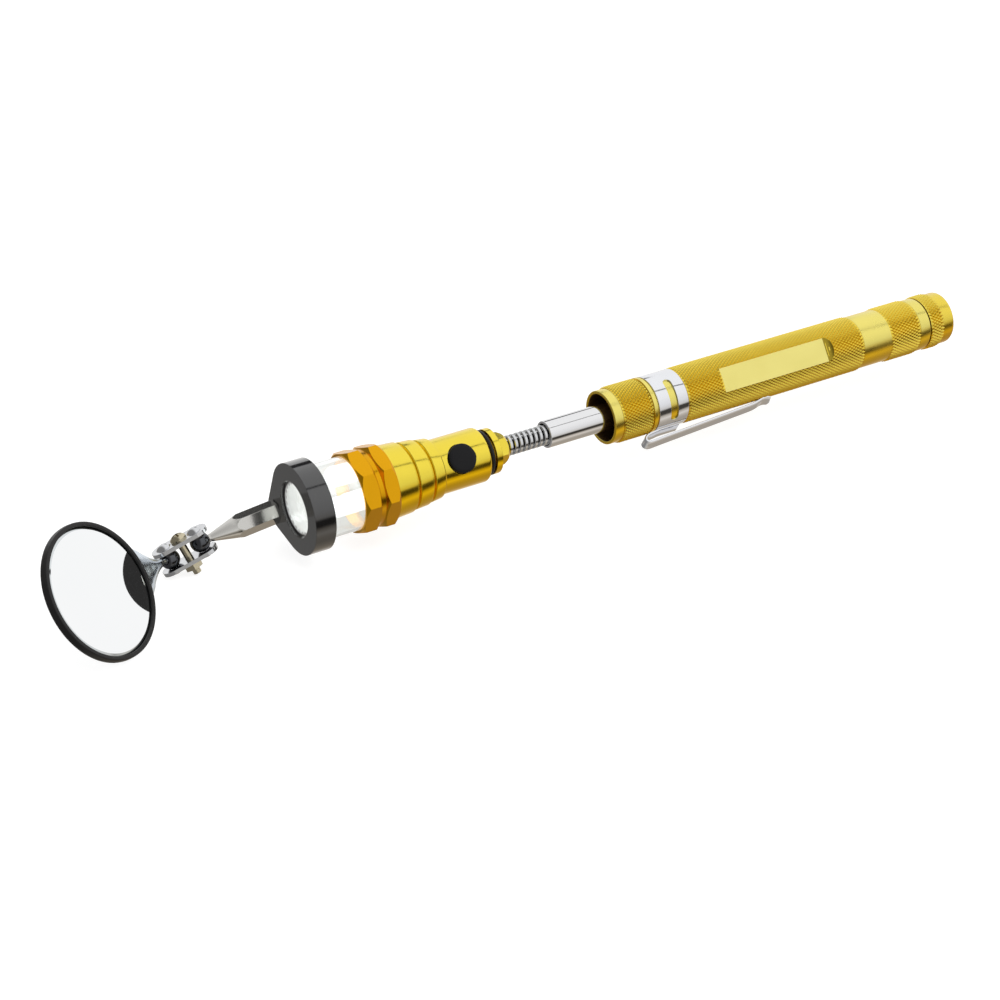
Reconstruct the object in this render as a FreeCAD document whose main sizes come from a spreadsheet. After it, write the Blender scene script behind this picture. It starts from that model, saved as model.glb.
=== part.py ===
import FreeCAD, Part
import math
import os
import Sketcher

# Telescoping inspection mirror with an LED torch, millimetres.
# X runs along the tool. The origin is the centre of the flat butt face, the butt's outward
# normal is +X, and the mirror end points to -X. A "station" is a distance from the butt face
# towards the mirror, so a point at station s lies at x = -s.
# Stations are in the order: end cap, handle, chrome tubes, sprung neck, torch, collar, arm,
# double-ball clamp, mirror.

Vector = FreeCAD.Vector
doc = FreeCAD.newDocument("inspection_mirror")
sheet = doc.addObject("Spreadsheet::Sheet", "sizes")

SIZES = [
    # End cap and handle: stations of the turned steps
    ("cap_smooth_end", 3.6, "front of the cap's smooth end"),
    ("cap_front", 8.1, "front of the cap's knurl"),
    ("cap_bore_depth", 6.0, "length of the hollow in the cap, from its spigot end"),
    ("cap_spigot_end", 12.6, "front of the cap's threaded spigot"),
    ("handle_rear", 8.4, "rear of the handle tube"),
    ("ring_front", 11.7, "front of the narrow ring"),
    ("rear_knurl_front", 21.8, "front of the rear knurl"),
    ("band_front", 31.0, "front of the smooth band"),
    ("grip_front", 88.2, "front of the main knurl"),
    ("recess_front", 97.7, "front of the clip's recess"),
    ("front_knurl_front", 108.1, "front of the front knurl"),
    ("mouth", 110.7, "handle's mouth"),
    ("knurl_radius", 7.5, "radius over the knurl"),
    ("band_radius", 7.15, "radius of the smooth bands"),
    ("mouth_radius", 7.05, "radius of the mouth ring and of the cap's smooth end"),
    ("recess_radius", 7.0, "radius under the clip"),
    ("handle_bore", 6.02, "radius of the handle's bore"),
    ("spigot_clear", 0.06, "radial clearance of a screwed-in spigot"),
    ("cap_hollow", 4.6, "radius of the hollow in the cap"),
    ("edge", 0.5, "edge chamfer of the turned pieces"),
    ("fit_clear", 0.05, "clearance of a plain assembly fit"),
    ("close_clear", 0.02, "clearance of a close fit"),
    # Label flat
    ("label_rear", 43.4, "rear end of the milled label flat"),
    ("label_front", 76.8, "front end of the milled label flat"),
    ("label_depth", 0.72, "depth of the label flat"),
    ("label_roll", -35.0, "roll of the label side about +X, from -Y"),
    # Pocket clip
    ("clip_rear", 88.4, "rear of the clip's band"),
    ("clip_front", 97.4, "front of the clip's band"),
    ("clip_sheet", 0.35, "thickness of the clip's band"),
    ("clip_slot_width", 2.3, "width of the slots in the band"),
    ("clip_slot_rear", 91.6, "rear edge of the slots"),
    ("clip_slot_span", 92.0, "angle that each slot spans"),
    ("clip_slot_roll", 8.0, "turn of the slot's middle from the label side"),
    ("clip_wire", 0.8, "thickness of the clip's arm"),
    ("band_top", 7.3, "distance of the arm's underside from the axis where it leaves the band"),
    ("knurl_top", 7.6, "distance of the arm's underside from the axis over the front knurl"),
    ("clip_width", 3.4, "width of the clip's arm"),
    ("clip_tab", 4.0, "length of the tab that joins the arm to the band"),
    ("clip_bend", 101.0, "station where the arm turns back"),
    ("clip_corner", 1.4, "corner cut of the arm's bend"),
    ("clip_reach", 10.7, "distance of the arm from the axis at its bend"),
    ("clip_tip", 60.4, "station of the arm's tip"),
    ("clip_flare", 1.5, "length of the arm's flared tip"),
    ("clip_dimple", 5.0, "distance of the contact dimple from the tip"),
    ("clip_dip", 8.1, "distance of the arm from the axis before its contact dimple"),
    # Telescoping tubes
    ("tube_radius", 3.55, "outer radius of the front tube"),
    ("tube_step", 0.40, "radius step from tube to tube"),
    ("tube_wall", 0.25, "wall of each tube"),
    ("tube_front", 127.8, "front of the front tube as drawn out at rest"),
    ("tube_length", 83.8, "length of the front tube"),
    ("inner_front", 70.3, "front of the second tube"),
    ("inner_rear", 19.3, "rear of the second tube"),
    ("front_stagger", 0.5, "how much further back each inner tube starts"),
    ("rear_stagger", 0.4, "how much further back each inner tube ends"),
    ("lip_length", 0.8, "length of the rolled lips"),
    ("lip_edge", 0.3, "edge chamfer of the front tube's rolled lip"),
    ("lip_clear", 0.04, "radial clearance inside a rear lip"),
    ("sleeve_length", 4.0, "length of a friction sleeve"),
    ("sleeve_clear", 0.03, "radial clearance around a friction sleeve"),
    ("anchor_rear", 13.3, "rear of the rod anchor"),
    ("anchor_front", 17.8, "front of the rod anchor"),
    ("anchor_screw_head", 2.6, "radius of the anchor screw's head"),
    ("anchor_screw_height", 1.7, "height of the anchor screw's head"),
    ("anchor_screw_end", 4.0, "how far the anchor screw reaches past the anchor"),
    # Sprung neck
    ("neck_front", 142.0, "front end of the neck, inside the tail nut"),
    ("neck_rear", 109.2, "rear end of the neck's spring"),
    ("spring_radius", 2.625, "outer radius of the neck's spring"),
    ("spring_wire", 0.56, "wire radius of the neck's spring"),
    ("spring_pitch", 1.45, "pitch of the neck's spring"),
    ("core_radius", 1.30, "radius of the bendable core"),
    ("ferrule_rear", 107.7, "rear of the neck's ferrule"),
    ("ferrule_front", 113.7, "front of the neck's ferrule"),
    ("neck_lip", 2.80, "radius of the opening in the front tube's rolled lip"),
    # Tail plug
    ("nut_rear", 140.0, "rear of the tail nut"),
    ("flange_rear", 143.3, "rear of the tail flange"),
    ("flange_front", 144.9, "front of the tail flange"),
    ("plug_front", 149.1, "front of the plug's spigot"),
    ("nut_corner", 4.2, "corner radius of the tail nut"),
    ("nut_round", 0.7, "how far the tail nut's end is turned down"),
    ("nut_round_length", 0.9, "length of the turned-down end of the tail nut"),
    ("nut_roll", -3.0, "roll of the tail nut's first corner about +X, from -Y"),
    ("flange_radius", 5.85, "radius of the tail flange"),
    ("seal_radius", 5.98, "outer radius of the tail O-ring"),
    ("seal_wire", 0.58, "section radius of the tail O-ring"),
    ("seal_station", 145.95, "station of the tail O-ring"),
    # Torch body
    ("body_rear", 147.0, "rear of the torch body"),
    ("barrel_front", 160.3, "front of the straight barrel with the button"),
    ("second_rib", 164.1, "front of the rear rib"),
    ("first_rib", 168.7, "front of the middle rib"),
    ("bezel_rear", 174.5, "rear of the bezel"),
    ("spigot_front", 179.6, "front of the torch body"),
    ("bezel_front", 184.1, "front of the bezel"),
    ("barrel_radius", 7.0, "radius of the straight barrel"),
    ("barrel_round", 1.0, "edge chamfer at the barrel's rear end"),
    ("rib_start", 7.7, "radius where the rear rib begins"),
    ("rear_rib", 8.0, "radius at the front of the rear rib"),
    ("middle_rib", 8.6, "radius at the front of the middle rib"),
    ("front_rib", 9.35, "radius at the front of the front rib"),
    ("rib_step", 0.37, "step from one rib up to the next"),
    ("groove_width", 0.5, "width of the grooves between the ribs"),
    ("groove_depth", 0.75, "depth of the grooves between the ribs"),
    ("cell_bore", 6.1, "radius of the battery bore"),
    ("plug_bore", 5.4, "radius of the bore for the tail plug"),
    ("shoulder", 149.2, "station of the shoulder behind the battery bore"),
    ("body_spigot", 8.8, "radius of the thread that the bezel screws on"),
    # Button and switch
    ("button_station", 155.1, "station of the button"),
    ("button_radius", 3.5, "radius of the hole for the button"),
    ("button_top", 7.8, "height of the button's top above the axis"),
    ("button_under", 6.85, "height of the button's underside above the axis"),
    ("button_clear", 0.06, "radial clearance of the button in its hole"),
    ("button_edge", 0.4, "edge chamfer of the button"),
    ("button_crown", 1.2, "width of the slope round the button's flat top"),
    ("plunger_radius", 1.2, "radius of the switch plunger"),
    ("plunger_foot", 3.0, "height of the plunger's foot above the axis"),
    ("plunger_room", 1.0, "depth left under the plunger's foot"),
    ("switch_front", 161.4, "front of the switch block"),
    ("switch_radius", 6.0, "radius of the switch block"),
    # Cells and lamps
    ("cell_radius", 5.8, "radius of a button cell"),
    ("cell_height", 5.4, "height of a button cell"),
    ("cells_rear", 161.5, "rear of the stack of cells"),
    ("cell_count", 3, "number of cells"),
    ("washer_hole", 1.2, "radius of the hole in the spring washer"),
    ("washer_flat", 2.2, "radius of the spring washer's flat middle"),
    ("washer_edge", 5.4, "outer radius of the spring washer"),
    ("washer_thickness", 0.3, "thickness of the spring washer"),
    ("board_rear", 179.8, "rear of the lamp board"),
    ("board_thickness", 1.0, "thickness of the lamp board"),
    ("lamp_count", 3, "number of lamps"),
    ("lamp_radius", 2.5, "radius of a lamp"),
    ("lamp_circle", 4.7, "radius of the circle of lamps"),
    ("lamp_length", 8.4, "height of a lamp"),
    ("lamp_roll", -5.0, "roll of the first lamp about +X, from -Y"),
    # Lens barrel and bezel
    ("lens_radius", 9.3, "outer radius of the clear barrel"),
    ("lens_bore", 8.3, "inner radius of the clear barrel"),
    ("lens_front", 197.1, "front of the clear barrel"),
    ("lens_face", 2.0, "thickness of the clear barrel's front wall"),
    ("bezel_corner", 10.75, "corner radius of the octagonal bezel"),
    ("bezel_edge", 9.9, "radius where the bezel's chamfers start"),
    ("bezel_chamfer", 0.9, "length of the bezel's end chamfers"),
    ("bezel_groove", 9.55, "radius of the groove round the bezel"),
    ("groove_floor", 1.2, "width of the bezel groove's floor"),
    ("groove_slope", 0.8, "width of each sloping side of the bezel's groove"),
    ("groove_shift", 0.3, "how far the groove lies behind the bezel's middle"),
    ("bezel_roll", -48.3, "roll of the bezel's first corner about +X, from -Y"),
    # Mirror collar
    ("collar_rear", 193.0, "rear of the collar"),
    ("collar_front", 198.4, "front of the collar"),
    ("collar_radius", 11.5, "radius of the collar's ring"),
    ("collar_mouth", 7.1, "radius of the collar's front opening"),
    ("collar_lip", 1.2, "thickness of the collar's front lip"),
    ("collar_clear", 0.06, "radial clearance of the collar on the clear barrel"),
    ("lug_reach", 11.6, "distance of the lug's centre from the axis"),
    ("lug_radius", 4.1, "end radius of the lug"),
    ("lug_roll", 151.0, "roll of the lug about +X, from -Y"),
    ("grip_station", 195.2, "station of the collar's grip ring"),
    ("grip_wire", 0.5, "section radius of the grip ring"),
    # Hexagonal arm
    ("arm_corner", 3.0, "corner radius of the hexagonal arm"),
    ("arm_hex", 9.9, "length of the arm's full hexagon"),
    ("arm_cone", 18.2, "where the arm's cone ends"),
    ("arm_reach", 20.95, "distance of the arm's ball from the collar"),
    ("arm_lean", 5.1, "lean of the arm from the tool's axis"),
    ("arm_pin", 1.5, "radius of the arm's pin in the lug"),
    ("arm_pin_length", 2.1, "length of the arm's pin"),
    # Double-ball clamp
    ("ball_radius", 2.5, "radius of the balls"),
    ("stem_radius", 0.95, "radius of the stem in each ball"),
    ("stem_clear", 0.06, "radial clearance of a stem in its ball"),
    ("stem_depth", 0.6, "how far a stem stops short of its ball's centre"),
    ("stem_gap", 0.1, "gap between a stem's end and its hole's end"),
    ("ball_spacing", 8.2, "distance between the balls"),
    ("plate_gap", 4.4, "gap between the clamp plates"),
    ("plate_thickness", 1.0, "thickness of a clamp plate"),
    ("plate_length", 14.6, "length of a clamp plate"),
    ("plate_width", 5.6, "width of a clamp plate"),
    ("dome_radius", 2.35, "radius of the domes over the balls"),
    ("dome_centre", 1.85, "height of each dome's centre above the clamp's middle"),
    ("dome_base", 1.9, "radius of each dome's base"),
    ("seat_clear", 0.05, "clearance of a ball in its seat"),
    ("screw_radius", 1.0, "radius of the clamp screw"),
    ("screw_head", 2.05, "radius of the clamp screw's pan head"),
    ("screw_head_height", 1.5, "height of the clamp screw's head"),
    ("screw_crown", 2.56, "crown radius of the clamp screw's head"),
    ("cross_length", 2.7, "length of the cross recess"),
    ("cross_width", 0.5, "width of the cross recess"),
    ("cross_depth", 0.9, "depth of the cross recess"),
    ("cross_turn", 20, "turn of the cross recess from the clamp's length"),
    ("screw_end", 1.6, "how far the screw stands out of its nut"),
    ("nut_height", 1.6, "height of the clamp nut"),
    ("nut_radius", 2.4, "corner radius of the clamp nut"),
    ("nut_clear", 0.01, "radial clearance of the nut's bore on the screw"),
    # Mirror
    ("mirror_reach", 33.7, "distance of the mirror's centre from its ball, along the mirror"),
    ("ball_drop", 5.25, "how far the ball lies behind the mirror's middle plane"),
    ("rim_radius", 16.8, "outer radius of the mirror's rim"),
    ("rim_height", 2.1, "height of the rim"),
    ("rim_edge", 0.3, "edge chamfer of the rim"),
    ("lip_inner", 15.65, "inner radius of the rim's front lip"),
    ("lip_thickness", 0.5, "thickness of the rim's front lip"),
    ("glass_radius", 15.95, "radius of the mirror glass"),
    ("glass_thickness", 0.9, "thickness of the mirror glass"),
    ("glass_bevel", 1.4, "width of the glass's bevel, part of it under the lip"),
    ("bevel_drop", 0.4, "height of the glass's bevel"),
    ("back_thickness", 0.9, "thickness of the metal back"),
    ("tang_thickness", 0.8, "thickness of the flared tang"),
    ("tang_start", 9.0, "distance of the tang's root from the mirror's centre"),
    ("tang_overlap", 0.3, "how far the tang's root is let into the back"),
    ("tang_root", 6.4, "half width of the tang at its root"),
    ("tang_waist", 1.5, "half width of the tang at its waist"),
    ("swell_start", 10.0, "where along the tang its rounded rib begins"),
    ("knuckle_radius", 1.25, "radius of the tang's rounded end"),
    ("knuckle_back", 4.8, "distance of the tang's rounded end from the ball's centre"),
]


def fill_sheet():
    """Writes each size as a plain number with its note and its alias."""
    for row, (alias, size, note) in enumerate(SIZES, 1):
        sheet.set(f"A{row}", note)
        sheet.set(f"B{row}", str(size))
        sheet.setAlias(f"B{row}", alias)
    doc.recompute()


def bound(text):
    """The expression with each alias named as a cell of the sheet."""
    names = sorted((alias for alias, _, _ in SIZES), key=len, reverse=True)
    words = []
    word = ""
    for letter in text + " ":
        if letter.isalnum() or letter == "_":
            word += letter
            continue
        words.append("sizes." + word if word in names else word)
        words.append(letter)
        word = ""
    return "".join(words).strip()


def number(text):
    """The value of an expression written with the sheet's aliases."""
    return float(sheet.evalExpression(bound(text)))


def aligned(point, along, towards):
    """A placement with its z axis along one direction and its x axis leaning towards another."""
    z_axis = Vector(along).normalize()
    x_axis = Vector(towards) - z_axis * towards.dot(z_axis)
    x_axis.normalize()
    y_axis = z_axis.cross(x_axis)
    turn = FreeCAD.Rotation(x_axis, y_axis, z_axis, "ZXY")
    return FreeCAD.Placement(point, turn)


def rolled(roll):
    """A turn about the tool's axis that brings -Y to the given roll."""
    return FreeCAD.Placement(Vector(), FreeCAD.Rotation(Vector(1, 0, 0), roll))


def outward(roll):
    """The unit vector away from the axis at a roll."""
    angle = math.radians(roll)
    return Vector(0, -math.cos(angle), -math.sin(angle))


# ---------------------------------------------------------------- general builders

def new_body(label):
    body = doc.addObject("PartDesign::Body", label)
    body.Label = label
    return body


def new_sketch(body, role, name, offset=None):
    """A sketch on one of the body's origin planes, moved along its normal by an expression."""
    plane = [feature for feature in body.Origin.OriginFeatures if feature.Role == role][0]
    sketch = body.newObject("Sketcher::SketchObject", name)
    sketch.AttachmentSupport = [(plane, "")]
    sketch.MapMode = "FlatFace"
    if offset:
        sketch.setExpression(".AttachmentOffset.Base.z", bound(offset))
    return sketch


def add_outline(sketch, points):
    """A closed outline of straight lines whose corners are bound to expressions."""
    corners = [Vector(number(across), number(up), 0) for across, up in points]
    first = sketch.GeometryCount
    count = len(corners)
    for index, corner in enumerate(corners):
        sketch.addGeometry(Part.LineSegment(corner, corners[(index + 1) % count]), False)
    for index in range(count):
        following = first + (index + 1) % count
        sketch.addConstraint(Sketcher.Constraint("Coincident", first + index, 2, following, 1))
    for index, texts in enumerate(points):
        for kind, text in zip(("DistanceX", "DistanceY"), texts):
            rule = Sketcher.Constraint(kind, -1, 1, first + index, 1, number(text))
            place = sketch.addConstraint(rule)
            sketch.setExpression(f"Constraints[{place}]", bound(text))


def add_circle(sketch, across, up, radius):
    """A circle whose centre and radius are bound to expressions."""
    circle = Part.Circle(Vector(number(across), number(up), 0), Vector(0, 0, 1), number(radius))
    index = sketch.addGeometry(circle, False)
    rules = [("DistanceX", (-1, 1, index, 3), across), ("DistanceY", (-1, 1, index, 3), up),
             ("Radius", (index,), radius)]
    for kind, what, text in rules:
        place = sketch.addConstraint(Sketcher.Constraint(kind, *what, number(text)))
        sketch.setExpression(f"Constraints[{place}]", bound(text))


def turned(label, outline):
    """A body turned about the tool's axis from (station, radius) corners."""
    body = new_body(label)
    sketch = new_sketch(body, "XY_Plane", label + "_outline")
    add_outline(sketch, [(f"-({station})", radius) for station, radius in outline])
    feature = body.newObject("PartDesign::Revolution", label + "_turning")
    feature.Profile = sketch
    feature.ReferenceAxis = (sketch, ["H_Axis"])
    feature.Angle = 360
    body.Tip = feature
    return body


def turned_on_z(label, outline):
    """A body turned about its own z axis from (radius, height) corners."""
    body = new_body(label)
    sketch = new_sketch(body, "XZ_Plane", label + "_outline")
    add_outline(sketch, outline)
    feature = body.newObject("PartDesign::Revolution", label + "_turning")
    feature.Profile = sketch
    feature.ReferenceAxis = (sketch, ["V_Axis"])
    feature.Angle = 360
    body.Tip = feature
    return body


def tube(label, rear, front, outer, inner):
    """A plain turned tube."""
    return turned(label, [(rear, inner), (rear, outer), (front, outer), (front, inner)])


def pad(body, name, plane, offset, length, draw):
    """A pad along the plane's normal; draw(sketch) adds its outline."""
    sketch = new_sketch(body, plane, name + "_sketch", offset)
    draw(sketch)
    feature = body.newObject("PartDesign::Pad", name)
    feature.Profile = sketch
    feature.setExpression("Length", bound(length))
    body.Tip = feature
    return feature


def pocket(body, name, plane, offset, length, draw):
    """A pocket along the plane's normal, checked to remove material."""
    doc.recompute()
    before = body.Shape.Volume
    sketch = new_sketch(body, plane, name + "_sketch", offset)
    draw(sketch)
    feature = body.newObject("PartDesign::Pocket", name)
    feature.Profile = sketch
    feature.Reversed = True
    feature.setExpression("Length", bound(length))
    body.Tip = feature
    doc.recompute()
    if body.Shape.Volume >= before - 1e-6:
        raise RuntimeError(f"{name} cuts nothing")
    return feature


def rod(name, radius, length, placement):
    """A cylinder along its placement's z axis."""
    cylinder = doc.addObject("Part::Cylinder", name)
    cylinder.setExpression("Radius", bound(radius))
    cylinder.setExpression("Height", bound(length))
    cylinder.Placement = placement
    return cylinder


def sphere(name, radius, point):
    ball = doc.addObject("Part::Sphere", name)
    ball.setExpression("Radius", bound(radius))
    ball.Placement.Base = point
    return ball


def cone(name, start, end, length, placement):
    """A cone along its placement's z axis."""
    piece = doc.addObject("Part::Cone", name)
    piece.setExpression("Radius1", bound(start))
    piece.setExpression("Radius2", bound(end))
    piece.setExpression("Height", bound(length))
    piece.Placement = placement
    return piece


def box(name, length, width, height, placement):
    """A block centred on its placement in x and y, standing on it in z."""
    block = doc.addObject("Part::Box", name)
    block.setExpression("Length", bound(length))
    block.setExpression("Width", bound(width))
    block.setExpression("Height", bound(height))
    middle = Vector(-number(length) / 2, -number(width) / 2, 0)
    block.Placement = placement.multiply(FreeCAD.Placement(middle, FreeCAD.Rotation()))
    return block


def prism(name, sides, corner, length, placement):
    """A regular prism along its placement's z axis, with a corner on its x axis."""
    piece = doc.addObject("Part::Prism", name)
    piece.Polygon = sides
    piece.setExpression("Circumradius", bound(corner))
    piece.setExpression("Height", bound(length))
    piece.Placement = placement
    return piece


def cut(label, base, tool):
    result = doc.addObject("Part::Cut", label)
    result.Base = base
    result.Tool = tool
    result.Label = label
    return result


def fuse(label, shapes):
    result = doc.addObject("Part::MultiFuse", label)
    result.Shapes = shapes
    result.Label = label
    return result


def common(label, shapes):
    result = doc.addObject("Part::MultiCommon", label)
    result.Shapes = shapes
    result.Label = label
    return result


def torus(label, ring, wire, placement):
    """An O-ring about its placement's z axis."""
    piece = doc.addObject("Part::Torus", label)
    piece.setExpression("Radius1", bound(ring))
    piece.setExpression("Radius2", bound(wire))
    piece.Placement = placement
    piece.Label = label
    return piece


def coil(label, radius, wire, pitch, height, placement):
    """A coil spring swept along a helix about its placement's z axis."""
    helix = doc.addObject("Part::Helix", label + "_helix")
    helix.setExpression("Radius", bound(radius))
    helix.setExpression("Pitch", bound(pitch))
    helix.setExpression("Height", bound(height))
    section = doc.addObject("Part::Circle", label + "_section")
    section.setExpression("Radius", bound(wire))
    section.Placement = FreeCAD.Placement(
        Vector(number(radius), 0, 0), FreeCAD.Rotation(Vector(1, 0, 0), 90))
    sweep = doc.addObject("Part::Sweep", label)
    sweep.Sections = [section]
    sweep.Spine = (helix, [])
    sweep.Solid = True
    sweep.Frenet = True
    sweep.Label = label
    sweep.Placement = placement
    return sweep


def on_axis(station):
    """A placement on the tool's axis whose z axis points to the mirror end."""
    return aligned(Vector(-number(station), 0, 0), Vector(-1, 0, 0), Vector(0, -1, 0))


def on_axis_rolled(station, roll):
    """The same, with its x axis at a roll."""
    return aligned(Vector(-number(station), 0, 0), Vector(-1, 0, 0), outward(number(roll)))


# ---------------------------------------------------------------- handle

def end_cap():
    """The knurled cap that screws into the handle's butt end."""
    return turned("end_cap", [
        ("0", "0"),
        ("0", "mouth_radius - 2 * edge"),
        ("2 * edge", "mouth_radius"),
        ("cap_smooth_end", "mouth_radius"),
        ("cap_smooth_end", "knurl_radius"),
        ("cap_front", "knurl_radius"),
        ("cap_front", "handle_bore - spigot_clear"),
        ("cap_spigot_end", "handle_bore - spigot_clear"),
        ("cap_spigot_end", "cap_hollow"),
        ("cap_spigot_end - cap_bore_depth", "cap_hollow"),
        ("cap_spigot_end - cap_bore_depth", "0"),
    ])


def handle_tube():
    """The long turned and knurled tube with its milled label flat."""
    body = turned("handle_tube", [
        ("handle_rear", "handle_bore"),
        ("handle_rear", "band_radius"),
        ("ring_front", "band_radius"),
        ("ring_front", "knurl_radius"),
        ("rear_knurl_front", "knurl_radius"),
        ("rear_knurl_front", "band_radius"),
        ("band_front", "band_radius"),
        ("band_front", "knurl_radius"),
        ("grip_front", "knurl_radius"),
        ("grip_front", "recess_radius"),
        ("recess_front", "recess_radius"),
        ("recess_front", "knurl_radius"),
        ("front_knurl_front", "knurl_radius"),
        ("front_knurl_front", "mouth_radius"),
        ("mouth - edge", "mouth_radius"),
        ("mouth", "mouth_radius - edge"),
        ("mouth", "handle_bore"),
    ])

    def label_strip(sketch):
        add_outline(sketch, [
            ("-label_rear", "-knurl_radius"),
            ("-label_front", "-knurl_radius"),
            ("-label_front", "label_depth - knurl_radius"),
            ("-label_rear", "label_depth - knurl_radius"),
        ])

    pocket(body, "label_flat", "XY_Plane", "-knurl_radius", "2 * knurl_radius", label_strip)
    body.Placement = rolled(number("label_roll"))
    return body


def pocket_clip():
    """A spring-steel band round the handle, slotted on two sides, with its bent-back arm."""
    band = tube("clip_band", "clip_rear", "clip_front", "recess_radius + clip_sheet",
                "recess_radius")
    band.Placement = rolled(number("label_roll"))
    slots = []
    for turn in (number("clip_slot_roll"), number("clip_slot_roll") + 180):
        start = number("label_roll") + turn - number("clip_slot_span") / 2
        slot = doc.addObject("Part::Cylinder", "clip_slot")
        slot.setExpression("Radius", bound("recess_radius + 1"))
        slot.setExpression("Height", bound("clip_slot_width"))
        slot.setExpression("Angle", bound("clip_slot_span"))
        along = Vector(1, 0, 0)
        rear = Vector(-number("clip_slot_rear + clip_slot_width"), 0, 0)
        slot.Placement = aligned(rear, along, outward(start))
        slots.append(slot)
    slotted = cut("clip_slotted", band, fuse("clip_slots", slots))

    arm = new_body("clip_arm")

    def arm_outline(sketch):
        add_outline(sketch, [
            ("-clip_rear - clip_tab", "-band_top - clip_wire"),
            ("-clip_rear - clip_tab", "-band_top"),
            ("-clip_front + clip_wire", "-band_top"),
            ("-clip_front", "-knurl_top"),
            ("-clip_bend + clip_corner", "-knurl_top"),
            ("-clip_bend", "-knurl_top - clip_corner"),
            ("-clip_bend", "-clip_reach + clip_corner"),
            ("-clip_bend + clip_corner", "-clip_reach"),
            ("-clip_tip - clip_dimple", "-clip_dip - clip_wire"),
            ("-clip_tip - clip_flare", "-clip_dip - clip_wire / 2"),
            ("-clip_tip", "-clip_dip - 2 * clip_wire"),
            ("-clip_tip", "-clip_dip - clip_wire"),
            ("-clip_tip - clip_flare", "-clip_dip + clip_wire / 2"),
            ("-clip_tip - clip_dimple", "-clip_dip"),
            ("-clip_bend + clip_corner", "-clip_reach + clip_wire"),
            ("-clip_bend + clip_wire", "-clip_reach + clip_corner"),
            ("-clip_bend + clip_wire", "-knurl_top - clip_corner"),
            ("-clip_bend + clip_corner", "-knurl_top - clip_wire"),
            ("-clip_front", "-knurl_top - clip_wire"),
        ])

    pad(arm, "clip_strip", "XZ_Plane", "-clip_width / 2", "clip_width", arm_outline)
    arm.Placement = rolled(number("label_roll"))
    return fuse("pocket_clip", [slotted, arm])


def rod_anchor():
    """The brass plug in the handle's butt end that holds the thinnest tube."""
    thin = "tube_radius - 5 * tube_step"
    return tube("rod_anchor", "anchor_rear", "anchor_front", "handle_bore - close_clear", thin)


def anchor_screw():
    """The screw through the anchor into the thinnest tube."""
    bore = "tube_radius - 5 * tube_step - tube_wall"
    return turned("anchor_screw", [
        ("anchor_rear - anchor_screw_height", "0"),
        ("anchor_rear - anchor_screw_height", "anchor_screw_head"),
        ("anchor_rear", "anchor_screw_head"),
        ("anchor_rear", bore),
        ("anchor_front + anchor_screw_end", bore),
        ("anchor_front + anchor_screw_end", "0"),
    ])


# ---------------------------------------------------------------- telescoping tubes

def outer_radius(place):
    """The outer radius of the tube at a place, 0 for the front one."""
    return f"tube_radius - {place} * tube_step"


def front_tube():
    """The thickest tube, with a rolled lip at each end."""
    rear = "tube_front - tube_length"
    outer = outer_radius(0)
    bore = f"{outer} - tube_wall"
    passes = f"{outer_radius(1)} + lip_clear"
    return turned("tube_1", [
        (rear, outer),
        ("tube_front - lip_edge", outer),
        ("tube_front", f"{outer} - lip_edge"),
        ("tube_front", "neck_lip"),
        ("tube_front - lip_length", "neck_lip"),
        ("tube_front - lip_length", bore),
        (f"{rear} + lip_length", bore),
        (f"{rear} + lip_length", passes),
        (rear, passes),
    ])


def inner_tube(place):
    """One of the four tubes between the front tube and the anchored one."""
    rear = f"inner_rear - {place - 1} * rear_stagger"
    front = f"inner_front - {place - 1} * front_stagger"
    outer = outer_radius(place)
    bore = f"{outer} - tube_wall"
    passes = f"{outer_radius(place + 1)} + lip_clear"
    return turned(f"tube_{place + 1}", [
        (rear, outer),
        (front, outer),
        (front, bore),
        (f"{rear} + lip_length", bore),
        (f"{rear} + lip_length", passes),
        (rear, passes),
    ])


def anchored_tube():
    """The thinnest tube, held in the rod anchor."""
    outer = outer_radius(5)
    return tube("tube_6", "anchor_rear", "inner_front - 4 * front_stagger", outer,
                f"{outer} - tube_wall")


def friction_sleeve(place):
    """The thin brass sleeve round the front end of an inner tube."""
    front = f"inner_front - {place - 1} * front_stagger"
    outer = f"{outer_radius(place - 1)} - tube_wall - sleeve_clear"
    inner = outer_radius(place)
    if place == 1:
        inner += " + close_clear"
    return tube(f"friction_sleeve_{place + 1}", f"{front} - sleeve_length", front, outer, inner)


# ---------------------------------------------------------------- sprung neck

def neck_ferrule():
    """The cup crimped on the neck's rear end, which stops it at the tube's lip."""
    outer = "tube_radius - tube_wall - fit_clear"
    return turned("neck_ferrule", [
        ("ferrule_rear", "0"),
        ("ferrule_rear", outer),
        ("ferrule_front", outer),
        ("ferrule_front", "spring_radius + close_clear"),
        ("neck_rear", "spring_radius + close_clear"),
        ("neck_rear", "0"),
    ])


def neck_spring():
    """The close-wound steel spring round the bendable core."""
    return coil("neck_spring", "spring_radius - spring_wire", "spring_wire", "spring_pitch",
                "neck_front - neck_rear - 2 * spring_wire - 2 * fit_clear",
                on_axis("neck_rear + spring_wire + fit_clear"))


def neck_core():
    """The bendable core that holds the neck's shape."""
    return turned_rod("neck_core", "neck_rear + fit_clear", "neck_front - fit_clear",
                      "core_radius")


def turned_rod(label, rear, front, radius):
    """A plain turned rod."""
    return turned(label, [(rear, "0"), (rear, radius), (front, radius), (front, "0")])


# ---------------------------------------------------------------- torch

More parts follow.
